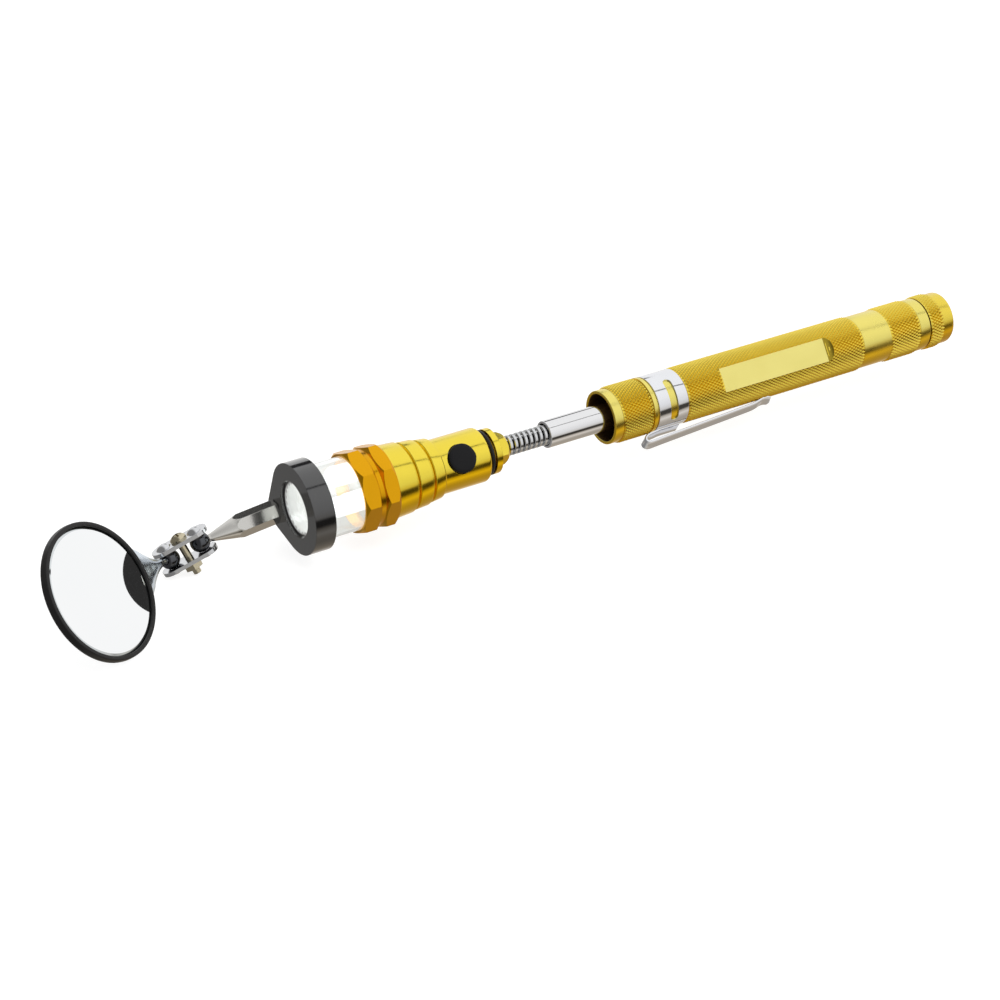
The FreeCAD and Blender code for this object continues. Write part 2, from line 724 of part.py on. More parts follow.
def tail_plug():
    """The plug that closes the torch: spigot, O-ring groove, flange and hexagon."""
    turning = turned("tail_turning", [
        ("flange_rear", "0"),
        ("flange_rear", "flange_radius"),
        ("flange_front", "flange_radius"),
        ("flange_front", "seal_radius - 2 * seal_wire - close_clear"),
        ("body_rear", "seal_radius - 2 * seal_wire - close_clear"),
        ("body_rear", "plug_bore - fit_clear"),
        ("plug_front", "plug_bore - fit_clear"),
        ("plug_front", "0"),
    ])
    hexagon = prism("tail_hexagon", 6, "nut_corner", "flange_rear - nut_rear",
                    on_axis_rolled("nut_rear", "nut_roll"))
    rounding = turned("tail_rounding", [
        ("nut_rear", "0"),
        ("nut_rear", "nut_corner - nut_round"),
        ("nut_rear + nut_round_length", "nut_corner + fit_clear"),
        ("flange_rear", "nut_corner + fit_clear"),
        ("flange_rear", "0"),
    ])
    nut = common("tail_nut", [hexagon, rounding])
    socket = rod("tail_socket", "spring_radius + fit_clear", "neck_front - nut_rear + fit_clear",
                 on_axis("nut_rear"))
    return cut("tail_plug", fuse("tail_solid", [turning, nut]), socket)


def tail_o_ring():
    """The O-ring that grips the handle's bore when the torch is pushed home."""
    return torus("tail_o_ring", "seal_radius - seal_wire", "seal_wire", on_axis("seal_station"))


def torch_body():
    """The ribbed, tapering torch housing."""
    body = turned("torch_turning", [
        ("body_rear", "plug_bore"),
        ("body_rear", "barrel_radius - barrel_round"),
        ("body_rear + barrel_round", "barrel_radius"),
        ("barrel_front", "barrel_radius"),
        ("barrel_front", "rib_start"),
        ("second_rib - groove_width", "rear_rib"),
        ("second_rib - groove_width", "rear_rib - groove_depth"),
        ("second_rib", "rear_rib - groove_depth"),
        ("second_rib", "rear_rib + rib_step"),
        ("first_rib - groove_width", "middle_rib"),
        ("first_rib - groove_width", "middle_rib - groove_depth"),
        ("first_rib", "middle_rib - groove_depth"),
        ("first_rib", "middle_rib + rib_step"),
        ("bezel_rear", "front_rib"),
        ("bezel_rear", "body_spigot"),
        ("spigot_front", "body_spigot"),
        ("spigot_front", "cell_bore"),
        ("shoulder", "cell_bore"),
        ("shoulder", "plug_bore"),
    ])
    hole = rod("button_hole", "button_radius", "2 * barrel_radius", button_place("0"))
    return cut("torch_body", body, hole)


def button_place(height):
    """A placement over the button's station whose z axis leaves the axis at the label side."""
    away = outward(number("label_roll"))
    point = Vector(-number("button_station"), 0, 0) + away * number(height)
    return aligned(point, away, Vector(1, 0, 0))


def button_cap():
    """The round rubber button."""
    button = turned_on_z("button_cap", [
        ("0", "button_under"),
        ("button_radius - button_clear", "button_under"),
        ("button_radius - button_clear", "button_top - button_edge"),
        ("button_radius - button_edge", "button_top - button_edge / 4"),
        ("button_radius - button_crown", "button_top"),
        ("0", "button_top"),
    ])
    button.Placement = button_place("0")
    return button


def switch_plunger():
    """The pin that the button pushes into the switch."""
    plunger = rod("switch_plunger", "plunger_radius", "button_under - plunger_foot",
                  button_place("plunger_foot"))
    plunger.Label = "switch_plunger"
    return plunger


def switch_block():
    """The moulded switch behind the cells."""
    block = turned_rod("switch_moulding", "shoulder + 2 * fit_clear", "switch_front", "switch_radius")
    well = rod("switch_well", "plunger_radius + fit_clear", "switch_radius",
               button_place("plunger_foot - plunger_room"))
    return cut("switch_block", block, well)


def battery_cells():
    """The stack of button cells, one solid each."""
    cells = []
    for place in range(int(number("cell_count"))):
        cell = rod(f"cell_{place + 1}", "cell_radius", "cell_height - close_clear",
                   on_axis(f"cells_rear + {place} * cell_height"))
        cells.append(cell)
    stack = doc.addObject("Part::Compound", "battery_cells")
    stack.Links = cells
    stack.Label = "battery_cells"
    return stack


def battery_sleeve():
    """The thin insulating tube round the cells."""
    return tube("battery_sleeve", "cells_rear", "cells_rear + cell_count * cell_height",
                "cell_bore - fit_clear", "cell_radius + fit_clear")


def contact_spring():
    """The dished spring washer that presses the cells together."""
    rear = "cells_rear + cell_count * cell_height + fit_clear"
    front = "board_rear - fit_clear"
    return turned("contact_spring", [
        (rear, "washer_hole"),
        (rear, "washer_flat"),
        (f"{front} - washer_thickness", "washer_edge"),
        (front, "washer_edge"),
        (front, "washer_edge - washer_thickness"),
        (f"{rear} + washer_thickness", "washer_flat - washer_thickness"),
        (f"{rear} + washer_thickness", "washer_hole"),
    ])


def led_board():
    """The round lamp board."""
    return turned_rod("led_board", "board_rear", "board_rear + board_thickness",
                      "lens_bore - 2 * fit_clear")


def leds():
    """Three domed lamps on the board, one solid each."""
    lamps = []
    straight = "lamp_length - lamp_radius"
    base = "board_rear + board_thickness"
    count = int(number("lamp_count"))
    for place in range(count):
        roll = number("lamp_roll") + place * 360 / count
        away = outward(roll) * number("lamp_circle")
        foot = Vector(-number(base), 0, 0) + away
        top = foot + Vector(-number(straight), 0, 0)
        stem = rod(f"lamp_stem_{place + 1}", "lamp_radius", straight,
                   aligned(foot, Vector(-1, 0, 0), Vector(0, 1, 0)))
        dome = sphere(f"lamp_dome_{place + 1}", "lamp_radius", top)
        lamps.append(fuse(f"lamp_{place + 1}", [stem, dome]))
    group = doc.addObject("Part::Compound", "leds")
    group.Links = lamps
    group.Label = "leds"
    return group


def lens_barrel():
    """The clear barrel with its closed front."""
    return turned("lens_barrel", [
        ("board_rear", "lens_bore"),
        ("board_rear", "lens_radius"),
        ("lens_front - edge", "lens_radius"),
        ("lens_front", "lens_radius - edge"),
        ("lens_front", "0"),
        ("lens_front - lens_face", "0"),
        ("lens_front - lens_face", "lens_bore"),
    ])


def bezel():
    """The octagonal ring that clamps the clear barrel, grooved round its middle."""
    middle = "(bezel_rear + bezel_front) / 2 - groove_shift"
    turning = turned("bezel_turning", [
        ("bezel_rear", "body_spigot + fit_clear"),
        ("bezel_rear", "bezel_edge"),
        ("bezel_rear + bezel_chamfer", "bezel_corner"),
        (f"{middle} - groove_floor / 2 - groove_slope", "bezel_corner"),
        (f"{middle} - groove_floor / 2", "bezel_groove"),
        (f"{middle} + groove_floor / 2", "bezel_groove"),
        (f"{middle} + groove_floor / 2 + groove_slope", "bezel_corner"),
        ("bezel_front - bezel_chamfer", "bezel_corner"),
        ("bezel_front", "bezel_edge"),
        ("bezel_front", "lens_radius + fit_clear"),
        ("spigot_front + 2 * fit_clear", "lens_radius + fit_clear"),
        ("spigot_front + 2 * fit_clear", "body_spigot + fit_clear"),
    ])
    octagon = prism("bezel_octagon", 8, "bezel_corner", "bezel_front - bezel_rear",
                    on_axis_rolled("bezel_rear", "bezel_roll"))
    return common("bezel", [turning, octagon])


# ---------------------------------------------------------------- collar and arm

def arm_axis():
    """The arm's direction: along the tool, leaning back across the lug."""
    lean = math.radians(number("arm_lean"))
    across = outward(number("lug_roll") - 90)
    return Vector(-1, 0, 0) * math.cos(lean) + across * math.sin(lean)


def arm_place():
    """The arm's foot on the collar; one facet faces out on the label side."""
    foot = Vector(-number("collar_front"), 0, 0)
    foot += outward(number("lug_roll")) * number("lug_reach")
    facet = outward(number("label_roll"))
    placement = aligned(foot, arm_axis(), facet)
    half_facet = FreeCAD.Rotation(Vector(0, 0, 1), 30)
    return placement.multiply(FreeCAD.Placement(Vector(), half_facet))


def collar():
    """The black ring that slips on the clear barrel and carries the arm in its lug."""
    body = new_body("collar_plate")
    turn = "acos((collar_radius - lug_radius) / lug_reach)"

    def ring(sketch):
        add_circle(sketch, "0", "0", "collar_radius")

    def web(sketch):
        big = (f"-collar_radius * cos({turn})", f"collar_radius * sin({turn})")
        small = (f"-lug_reach - lug_radius * cos({turn})", f"lug_radius * sin({turn})")
        add_outline(sketch, [big, small, (small[0], "-" + small[1]), (big[0], "-" + big[1])])

    def lug(sketch):
        add_circle(sketch, "-lug_reach", "0", "lug_radius")

    for name, draw in (("collar_ring", ring), ("collar_web", web), ("collar_lug", lug)):
        pad(body, name, "YZ_Plane", "-collar_front", "collar_front - collar_rear", draw)
    body.Placement = rolled(number("lug_roll"))

    hollow = turned("collar_hollow", [
        ("collar_rear - 1", "0"),
        ("collar_rear - 1", "lens_radius + collar_clear"),
        ("grip_station - grip_wire - fit_clear", "lens_radius + collar_clear"),
        ("grip_station - grip_wire - fit_clear", "lens_radius + 2 * grip_wire + collar_clear"),
        ("grip_station + grip_wire + fit_clear", "lens_radius + 2 * grip_wire + collar_clear"),
        ("grip_station + grip_wire + fit_clear", "lens_radius + collar_clear"),
        ("collar_front - collar_lip", "lens_radius + collar_clear"),
        ("collar_front - collar_lip", "collar_mouth"),
        ("collar_front + 1", "collar_mouth"),
        ("collar_front + 1", "0"),
    ])
    backwards = FreeCAD.Placement(Vector(0, 0, -number("arm_pin_length")), FreeCAD.Rotation())
    pin_hole = rod("collar_pin_hole", "arm_pin", "2 * arm_pin_length",
                   arm_place().multiply(backwards))
    return cut("collar", body, fuse("collar_openings", [hollow, pin_hole]))


def collar_grip_ring():
    """The rubber ring in the collar's bore that grips the clear barrel."""
    return torus("collar_grip_ring", "lens_radius + grip_wire + close_clear", "grip_wire",
                 on_axis("grip_station"))


def hex_arm():
    """The chromed hexagonal arm, coned like a pencil down to its stem."""
    place = arm_place()
    hexagon = prism("arm_hexagon", 6, "arm_corner", "arm_cone", place)
    straight = rod("arm_straight", "arm_corner", "arm_hex", place)
    upwards = FreeCAD.Placement(Vector(0, 0, number("arm_hex")), FreeCAD.Rotation())
    taper = cone("arm_taper", "arm_corner", "stem_radius", "arm_cone - arm_hex",
                 place.multiply(upwards))
    whole = common("arm_whole", [hexagon, fuse("arm_turning", [straight, taper])])
    into_collar = aligned(place.Base, Vector(1, 0, 0), Vector(0, 1, 0))
    behind = rod("arm_foot_trim", "2 * arm_corner", "arm_corner", into_collar)
    blank = cut("arm_blank", whole, behind)
    stem = rod("arm_stem", "stem_radius", "arm_reach - stem_depth", place)
    backwards = FreeCAD.Placement(Vector(0, 0, -number("arm_pin_length")), FreeCAD.Rotation())
    pin = rod("arm_pin_rod", "arm_pin", "arm_pin_length + 1", place.multiply(backwards))
    return fuse("hex_arm", [blank, stem, pin])


# ---------------------------------------------------------------- double-ball clamp

CLAMP_ALONG = Vector(-0.899, 0.191, -0.394)    # from the arm's ball to the mirror's ball
CLAMP_UP = Vector(-0.324, 0.307, 0.895)        # from the clamp nut to the screw's head
MIRROR_FACE = Vector(0.509, -0.642, 0.574)     # the mirror's outward normal
MIRROR_SIDE = Vector(-0.849, -0.485, 0.211)    # along the mirror, from its ball's side inwards


def arm_ball_point():
    return arm_place().Base + arm_axis() * number("arm_reach")


def mirror_ball_point():
    return arm_ball_point() + Vector(CLAMP_ALONG).normalize() * number("ball_spacing")


def clamp_place():
    """The clamp's middle: x along the plates towards the mirror, z to the screw's head."""
    middle = (arm_ball_point() + mirror_ball_point()) * 0.5
    return aligned(middle, CLAMP_UP, CLAMP_ALONG)


def in_clamp(across, height):
    """A placement in the clamp's own frame."""
    offset = FreeCAD.Placement(Vector(across, 0, height), FreeCAD.Rotation())
    return clamp_place().multiply(offset)


def drilled_ball(label, centre, stem_side):
    """A steel ball with a blind hole for its stem."""
    direction = Vector(stem_side).normalize()
    middle = aligned(centre, direction, Vector(0, 0, 1))
    ball = sphere(label + "_ball", "ball_radius", centre)
    ball.Placement = middle
    deep = FreeCAD.Placement(Vector(0, 0, number("stem_depth - stem_gap")), FreeCAD.Rotation())
    hole = rod(label + "_hole", "stem_radius + stem_clear", "ball_radius + 1",
               middle.multiply(deep))
    return cut(label, ball, hole)


def clamp_plate(label, side):
    """A stamped plate with a domed seat over each ball, above (1) or below (-1) them."""
    low = number("plate_gap") / 2
    if side < 0:
        low = -low - number("plate_thickness")
    straight = "plate_length - plate_width"
    spacing = number("ball_spacing") / 2
    pieces = [box(label + "_bar", straight, "plate_width", "plate_thickness", in_clamp(0, low))]
    for end in (-1, 1):
        place = in_clamp(end * number(straight) / 2, low)
        pieces.append(rod(label + "_end", "plate_width / 2", "plate_thickness", place))
        above = side * number("dome_centre")
        dome = sphere(label + "_dome", "dome_radius", in_clamp(end * spacing, above).Base)
        foot = low if side > 0 else low + number("plate_thickness - 2 * dome_base")
        limit = rod(label + "_dome_limit", "dome_base", "2 * dome_base",
                    in_clamp(end * spacing, foot))
        pieces.append(common(label + "_seat", [dome, limit]))
    tools = []
    for end in (-1, 1):
        centre = in_clamp(end * spacing, 0).Base
        tools.append(sphere(label + "_recess", "ball_radius + seat_clear", centre))
    tools.append(rod(label + "_screw_hole", "screw_radius + fit_clear", "plate_thickness + 2",
                     in_clamp(0, low - 1)))
    solid = fuse(label + "_solid", pieces)
    return cut(label, solid, fuse(label + "_tools", tools))


def clamp_screw():
    """The pan-head screw with its cross recess."""
    top = number("plate_gap / 2 + plate_thickness")
    shank_end = -top - number("nut_height + screw_end")
    shank = rod("screw_shank", "screw_radius",
                "plate_gap + 2 * plate_thickness + nut_height + screw_end",
                in_clamp(0, shank_end))
    head = rod("screw_head_blank", "screw_head", "screw_head_height", in_clamp(0, top))
    crown_centre = top + number("screw_head_height - screw_crown")
    crown = sphere("screw_crowning", "screw_crown", in_clamp(0, crown_centre).Base)
    pan = common("screw_pan", [head, crown])
    bars = []
    recess = in_clamp(0, top + number("screw_head_height - cross_depth"))
    for quarter in (0, 90):
        turn = FreeCAD.Rotation(Vector(0, 0, 1), number("cross_turn") + quarter)
        place = recess.multiply(FreeCAD.Placement(Vector(), turn))
        bars.append(box("screw_cross", "cross_length", "cross_width", "2 * cross_depth", place))
    blank = fuse("screw_blank", [shank, pan])
    return cut("clamp_screw", blank, fuse("screw_recess", bars))


def clamp_nut():
    """The small hexagonal nut under the lower plate."""
    low = -number("plate_gap / 2 + plate_thickness + nut_height")
    half_flat = FreeCAD.Placement(Vector(), FreeCAD.Rotation(Vector(0, 0, 1), 30))
    nut = prism("nut_blank", 6, "nut_radius", "nut_height", in_clamp(0, low).multiply(half_flat))
    hole = rod("nut_hole", "screw_radius + nut_clear", "nut_height + 2", in_clamp(0, low - 1))
    return cut("clamp_nut", nut, hole)


# ---------------------------------------------------------------- mirror

def mirror_place():
    """The mirror's middle: z is its outward normal and x points to its ball's side."""
    centre = mirror_ball_point() + Vector(MIRROR_SIDE).normalize() * number("mirror_reach")
    centre += Vector(MIRROR_FACE).normalize() * number("ball_drop")
    return aligned(centre, MIRROR_FACE, Vector(MIRROR_SIDE) * -1)


def tang_place():
    """The tang's root under the back: z runs along the tang to the ball and x across it."""
    place = mirror_place()
    low = number("rim_height / 2 - lip_thickness - glass_thickness - back_thickness")
    sunk = low - number("tang_thickness / 2 - tang_overlap")
    root = place.multVec(Vector(number("tang_start"), 0, sunk))
    across = place.Rotation.multVec(Vector(0, 1, 0))
    return aligned(root, mirror_ball_point() - root, across)


def mirror_rim():
    """The black rubber rim stretched round the glass and its back."""
    rim = turned_on_z("mirror_rim", [
        ("glass_radius + fit_clear", "-rim_height / 2"),
        ("rim_radius - rim_edge", "-rim_height / 2"),
        ("rim_radius", "rim_edge - rim_height / 2"),
        ("rim_radius", "rim_height / 2 - rim_edge"),
        ("rim_radius - rim_edge", "rim_height / 2"),
        ("lip_inner + rim_edge", "rim_height / 2"),
        ("lip_inner", "rim_height / 2 - rim_edge"),
        ("lip_inner", "rim_height / 2 - lip_thickness"),
        ("glass_radius + fit_clear", "rim_height / 2 - lip_thickness"),
    ])
    rim.Placement = mirror_place()
    return rim


def mirror_glass():
    """The round mirror glass with its bevelled front edge."""
    top = "rim_height / 2 - lip_thickness"
    glass = turned_on_z("mirror_glass", [
        ("0", f"{top} - glass_thickness"),
        ("glass_radius", f"{top} - glass_thickness"),
        ("glass_radius", f"{top} - bevel_drop"),
        ("glass_radius - glass_bevel", top),
        ("0", top),
    ])
    glass.Placement = mirror_place()
    return glass


def mirror_back():
    """The plated back with the flared tang that narrows to the ball's stem."""
    low = number("rim_height / 2 - lip_thickness - glass_thickness - back_thickness")
    down = FreeCAD.Placement(Vector(0, 0, low), FreeCAD.Rotation())
    disc = rod("back_disc", "glass_radius", "back_thickness", mirror_place().multiply(down))

    tang = new_body("back_tang")
    # Distance from the tang's root, and half width there.
    flare = [("0", "tang_root"), ("5", "tang_root * 0.95"), ("8.5", "tang_root * 0.72"),
             ("12", "tang_root * 0.45"), ("15", "tang_waist * 1.25"), ("18", "tang_waist")]

    def tang_outline(sketch):
        one_side = [(width, along) for along, width in flare]
        other_side = [(f"-({width})", along) for along, width in reversed(flare)]
        add_outline(sketch, one_side + other_side)

    pad(tang, "tang_plate", "XZ_Plane", "-tang_thickness / 2", "tang_thickness", tang_outline)
    place = tang_place()
    tang.Placement = place

    length = (mirror_ball_point() - place.Base).Length
    waist = length - number("knuckle_back")
    start = number("swell_start")
    start_place = place.multiply(FreeCAD.Placement(Vector(0, 0, start), FreeCAD.Rotation()))
    swell = cone("back_swell", "tang_thickness", "knuckle_radius", f"{waist} - swell_start",
                 start_place)
    knuckle_place = place.multiply(FreeCAD.Placement(Vector(0, 0, waist), FreeCAD.Rotation()))
    knuckle = sphere("back_knuckle", "knuckle_radius", knuckle_place.Base)
    stem = rod("back_stem", "stem_radius", "knuckle_back - stem_depth", knuckle_place)
    return fuse("mirror_back", [disc, tang, swell, knuckle, stem])


# ---------------------------------------------------------------- assembly and export

def build():
    """Every piece of the tool, from the butt to the mirror."""
    pieces = [end_cap(), handle_tube(), pocket_clip(), rod_anchor(), anchor_screw()]
    pieces.append(anchored_tube())
    pieces += [inner_tube(place) for place in (1, 2, 3, 4)]
    pieces += [friction_sleeve(place) for place in (1, 2, 3, 4, 5)]
    pieces += [front_tube(), neck_ferrule(), neck_spring(), neck_core()]
    pieces += [tail_plug(), tail_o_ring(), torch_body(), button_cap(), switch_plunger()]
    pieces += [switch_block(), battery_cells(), battery_sleeve(), contact_spring()]
    pieces += [led_board(), leds(), lens_barrel(), bezel()]
    pieces += [collar(), collar_grip_ring(), hex_arm()]
    stem_to_arm = arm_axis() * -1
    pieces.append(drilled_ball("arm_ball", arm_ball_point(), stem_to_arm))
    stem_to_mirror = tang_place().Base - mirror_ball_point()
    pieces.append(drilled_ball("mirror_ball", mirror_ball_point(), stem_to_mirror))
    pieces.append(clamp_plate("clamp_plate_upper", 1))
    pieces.append(clamp_plate("clamp_plate_lower", -1))
    pieces += [clamp_screw(), clamp_nut(), mirror_back(), mirror_glass(), mirror_rim()]
    return pieces


def check(pieces):
    """Stops on any failed feature and on any empty or invalid shape."""
    for thing in doc.Objects:
        if {"Invalid", "Error"} & set(thing.State):
            raise RuntimeError(f"{thing.Label} failed: {thing.State}")
    for piece in pieces:
        shape = piece.Shape
        if shape.isNull() or not shape.isValid() or not shape.Solids:
            raise RuntimeError(f"{piece.Label} has no valid solid")


fill_sheet()
parts = build()
doc.recompute()
check(parts)
os.makedirs("parts", exist_ok=True)
for piece in parts:
    piece.Shape.exportStep(f"parts/{piece.Label}.step")
    print(piece.Label, len(piece.Shape.Solids), round(piece.Shape.Volume, 2))
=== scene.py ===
"""Looks of the telescoping inspection mirror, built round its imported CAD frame.

Lengths are in millimetres until a mesh is made. A "station" is a distance from the butt face
towards the mirror, so a point at station s lies at x = -s. A "roll" turns about +X from -Y.
"""

import math

import bmesh
import bpy
from mathutils import Matrix, Vector


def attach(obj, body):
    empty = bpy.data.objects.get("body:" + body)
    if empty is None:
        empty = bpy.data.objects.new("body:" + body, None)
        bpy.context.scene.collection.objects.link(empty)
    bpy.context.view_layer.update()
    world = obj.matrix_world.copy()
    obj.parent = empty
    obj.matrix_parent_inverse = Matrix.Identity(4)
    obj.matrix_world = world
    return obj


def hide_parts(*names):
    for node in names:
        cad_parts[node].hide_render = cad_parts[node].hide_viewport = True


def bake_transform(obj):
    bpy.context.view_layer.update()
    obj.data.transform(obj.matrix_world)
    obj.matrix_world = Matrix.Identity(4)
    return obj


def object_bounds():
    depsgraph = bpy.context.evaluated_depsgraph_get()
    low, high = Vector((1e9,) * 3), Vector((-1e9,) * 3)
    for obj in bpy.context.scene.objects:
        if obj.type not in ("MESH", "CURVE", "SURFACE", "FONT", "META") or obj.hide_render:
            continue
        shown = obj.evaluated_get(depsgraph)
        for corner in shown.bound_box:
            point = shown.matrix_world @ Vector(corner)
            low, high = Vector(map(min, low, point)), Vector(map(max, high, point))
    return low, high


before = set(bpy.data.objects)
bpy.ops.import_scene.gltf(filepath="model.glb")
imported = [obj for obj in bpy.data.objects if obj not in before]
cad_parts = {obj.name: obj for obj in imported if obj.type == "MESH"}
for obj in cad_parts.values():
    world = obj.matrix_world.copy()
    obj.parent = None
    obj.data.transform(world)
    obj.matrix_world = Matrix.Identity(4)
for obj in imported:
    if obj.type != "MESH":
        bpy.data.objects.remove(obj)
low_corner, high_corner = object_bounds()

MM = 0.001

# ---------------------------------------------------------------- sizes

LABEL_ROLL = -35.0

CAP_SMOOTH_END = 3.6
CAP_FRONT = 8.1
HANDLE_REAR = 8.4
RING_FRONT = 11.7
REAR_KNURL_FRONT = 21.8
BAND_FRONT = 31.0
GRIP_FRONT = 88.2
RECESS_FRONT = 97.7
SHOULDER_FRONT = 98.9
FRONT_KNURL_FRONT = 108.1
MOUTH = 110.7
KNURL_RADIUS = 7.5
BAND_RADIUS = 7.15
MOUTH_RADIUS = 7.05
RECESS_RADIUS = 7.0
HANDLE_BORE = 6.02
SKIN = 0.3
BORE_SKIN = 6.4

KNURL_PITCH = 1.36
KNURL_COUNT = 50
KNURL_DEPTH = 0.38

LABEL_REAR = 43.4
LABEL_FRONT = 76.8
LABEL_DEPTH = 0.72
LABEL_CUTTER = 3.7
LABEL_RUN = math.sqrt(LABEL_CUTTER ** 2 - (LABEL_CUTTER - LABEL_DEPTH) ** 2)

CLIP_REAR = 88.4
CLIP_FRONT = 97.4
CLIP_SHEET = 0.35
CLIP_SLOT_REAR = 91.6
CLIP_SLOT_WIDTH = 2.3
CLIP_SLOT_SPAN = 92.0
CLIP_SLOT_TURN = 8.0
CLIP_WIDTH = 3.4
CLIP_TILT = 24.0

TUBE_FRONT = 127.8
TUBE_REAR = 44.0
TUBE_RADIUS = 3.55
TUBE_WALL = 0.25
NECK_LIP = 2.80

NECK_REAR = 109.25
NECK_FRONT = 141.95
SPRING_RADIUS = 2.625
SPRING_PITCH = 1.45
CORE_RADIUS = 1.30

BODY_REAR = 147.0
BARREL_FRONT = 160.3
SECOND_RIB = 164.1
FIRST_RIB = 168.7
BEZEL_REAR = 174.5
SPIGOT_FRONT = 179.6
SHOULDER = 149.2
BARREL_RADIUS = 7.0
CELL_BORE = 6.1
PLUG_BORE = 5.4
BODY_SPIGOT = 8.8
REAR_RIB = 8.0
MIDDLE_RIB = 8.6
FRONT_RIB = 9.35
RIB_STEP = 0.37
GROOVE_WIDTH = 0.5
GROOVE_DEPTH = 0.75
BUTTON_STATION = 155.1
BUTTON_RADIUS = 3.75

BOARD_REAR = 179.8
LENS_RADIUS = 9.3
LENS_BORE = 8.3
LENS_FRONT = 197.1
COLLAR_FRONT = 198.4

LUG_REACH = 11.6
LUG_ROLL = 151.0
ARM_LEAN = 5.1
ARM_REACH = 20.95
BALL_SPACING = 8.2
PLATE_GAP = 4.4
PLATE_THICKNESS = 1.0
CLAMP_ALONG = Vector((-0.899, 0.191, -0.394))
CLAMP_UP = Vector((-0.324, 0.307, 0.895))

MIRROR_REACH = 33.7
BALL_DROP = 5.25
MIRROR_FACE = Vector((0.509, -0.642, 0.574))
MIRROR_SIDE = Vector((-0.849, -0.485, 0.211))
RIM_RADIUS = 16.8
RIM_HEIGHT = 2.1
LIP_INNER = 15.65
LIP_THICKNESS = 0.5
GLASS_RADIUS = 15.95
GLASS_THICKNESS = 0.9
TANG_START = 9.0
KNUCKLE_BACK = 4.8

# ---------------------------------------------------------------- mesh helpers

ROUND_SIDES = 128
FILLET_STEPS = 4
SMOOTH_ANGLE = math.radians(32)


def outward(roll):
    """The unit vector away from the tool's axis at a roll in degrees."""
    angle = math.radians(roll)
    return Vector((0, -math.cos(angle), -math.sin(angle)))


def place_of(point, along, towards):
    """A matrix with its z axis along one direction and its x axis leaning towards another."""
    z_axis = along.normalized()
    x_axis = (towards - z_axis * towards.dot(z_axis)).normalized()
    y_axis = z_axis.cross(x_axis)
    turn = Matrix((x_axis, y_axis, z_axis)).transposed().to_4x4()
    return Matrix.Translation(point) @ turn


def piece(name, vertices, faces, material, smooth=True):
    """A mesh object from millimetre points; zero-size faces are merged away."""
    mesh = bpy.data.meshes.new(name)
    mesh.from_pydata([Vector(vertex) * MM for vertex in vertices], [], faces)
    work = bmesh.new()
    work.from_mesh(mesh)
    bmesh.ops.remove_doubles(work, verts=work.verts, dist=0.002 * MM)
    bmesh.ops.recalc_face_normals(work, faces=work.faces)
    work.to_mesh(mesh)
    work.free()
    if smooth:
        mesh.shade_smooth()
        mesh.set_sharp_from_angle(angle=SMOOTH_ANGLE)
    mesh.materials.append(material)
    thing = bpy.data.objects.new(name, mesh)
    bpy.context.scene.collection.objects.link(thing)
    return thing


def rounded(points, closed):
    """The outline with each (across, up, fillet) corner rounded."""
    outline = []
    for index, point in enumerate(points):
        corner = Vector(point[:2])
        fillet = point[2] if len(point) > 2 else 0
        if not fillet:
            outline.append(corner)
            continue
        before = Vector(points[index - 1][:2]) - corner
        after = Vector(points[(index + 1) % len(points)][:2]) - corner
        half = before.angle(after) / 2
        back = min(fillet / math.tan(half), before.length * 0.49, after.length * 0.49)
        start = corner + before.normalized() * back
        end = corner + after.normalized() * back
        for step in range(FILLET_STEPS + 1):
            share = step / FILLET_STEPS
            blend = start * (1 - share) ** 2 + corner * 2 * share * (1 - share)
            outline.append(blend + end * share ** 2)
    return outline


def grid_faces(rows, columns, wrap_rows, wrap_columns):
    """Quads over a grid of vertices numbered row by row."""
    faces = []
    for row in range(rows if wrap_rows else rows - 1):
        for column in range(columns if wrap_columns else columns - 1):
            next_row = (row + 1) % rows
            next_column = (column + 1) % columns
            faces.append((row * columns + column, row * columns + next_column,
                          next_row * columns + next_column, next_row * columns + column))
    return faces


def turned(name, points, material, closed=True, place=None, sides=ROUND_SIDES):
    """A piece turned from (station, radius, fillet) corners, or (height, radius) with a place."""
    outline = rounded(points, closed)
    vertices = []
    for across, radius in outline:
        for side in range(sides):
            roll = side * 360 / sides
            if place:
                turn = math.radians(roll)
                local = Vector((radius * math.cos(turn), radius * math.sin(turn), across))
                vertices.append(place @ local)
            else:
                vertices.append(Vector((-across, 0, 0)) + outward(roll) * radius)
    faces = grid_faces(len(outline), sides, closed, True)
    return piece(name, vertices, faces, material)


def swept(name, rings, material, ends=True):
    """A skin over rings of points, closed with a cap at both ends."""
    columns = len(rings[0])
    vertices = [point for ring in rings for point in ring]
    faces = grid_faces(len(rings), columns, False, True)
    if ends:
        last = (len(rings) - 1) * columns
        faces.append(tuple(range(columns)))
        faces.append(tuple(last + column for column in range(columns)))
    return piece(name, vertices, faces, material)


def smooth_path(points, steps):
    """Points along a smooth curve through the given ones."""
    path = []
    count = len(points)
    for index in range(count - 1):
        before = points[max(index - 1, 0)]
        start = points[index]
        end = points[index + 1]
        after = points[min(index + 2, count - 1)]
        for step in range(steps):
            t = step / steps
            a = start * 2
            b = (end - before) * t
            c = (before * 2 - start * 5 + end * 4 - after) * t ** 2
            d = (start * 3 - before - end * 3 + after) * t ** 3
            path.append((a + b + c + d) * 0.5)
    path.append(points[-1])
    return path


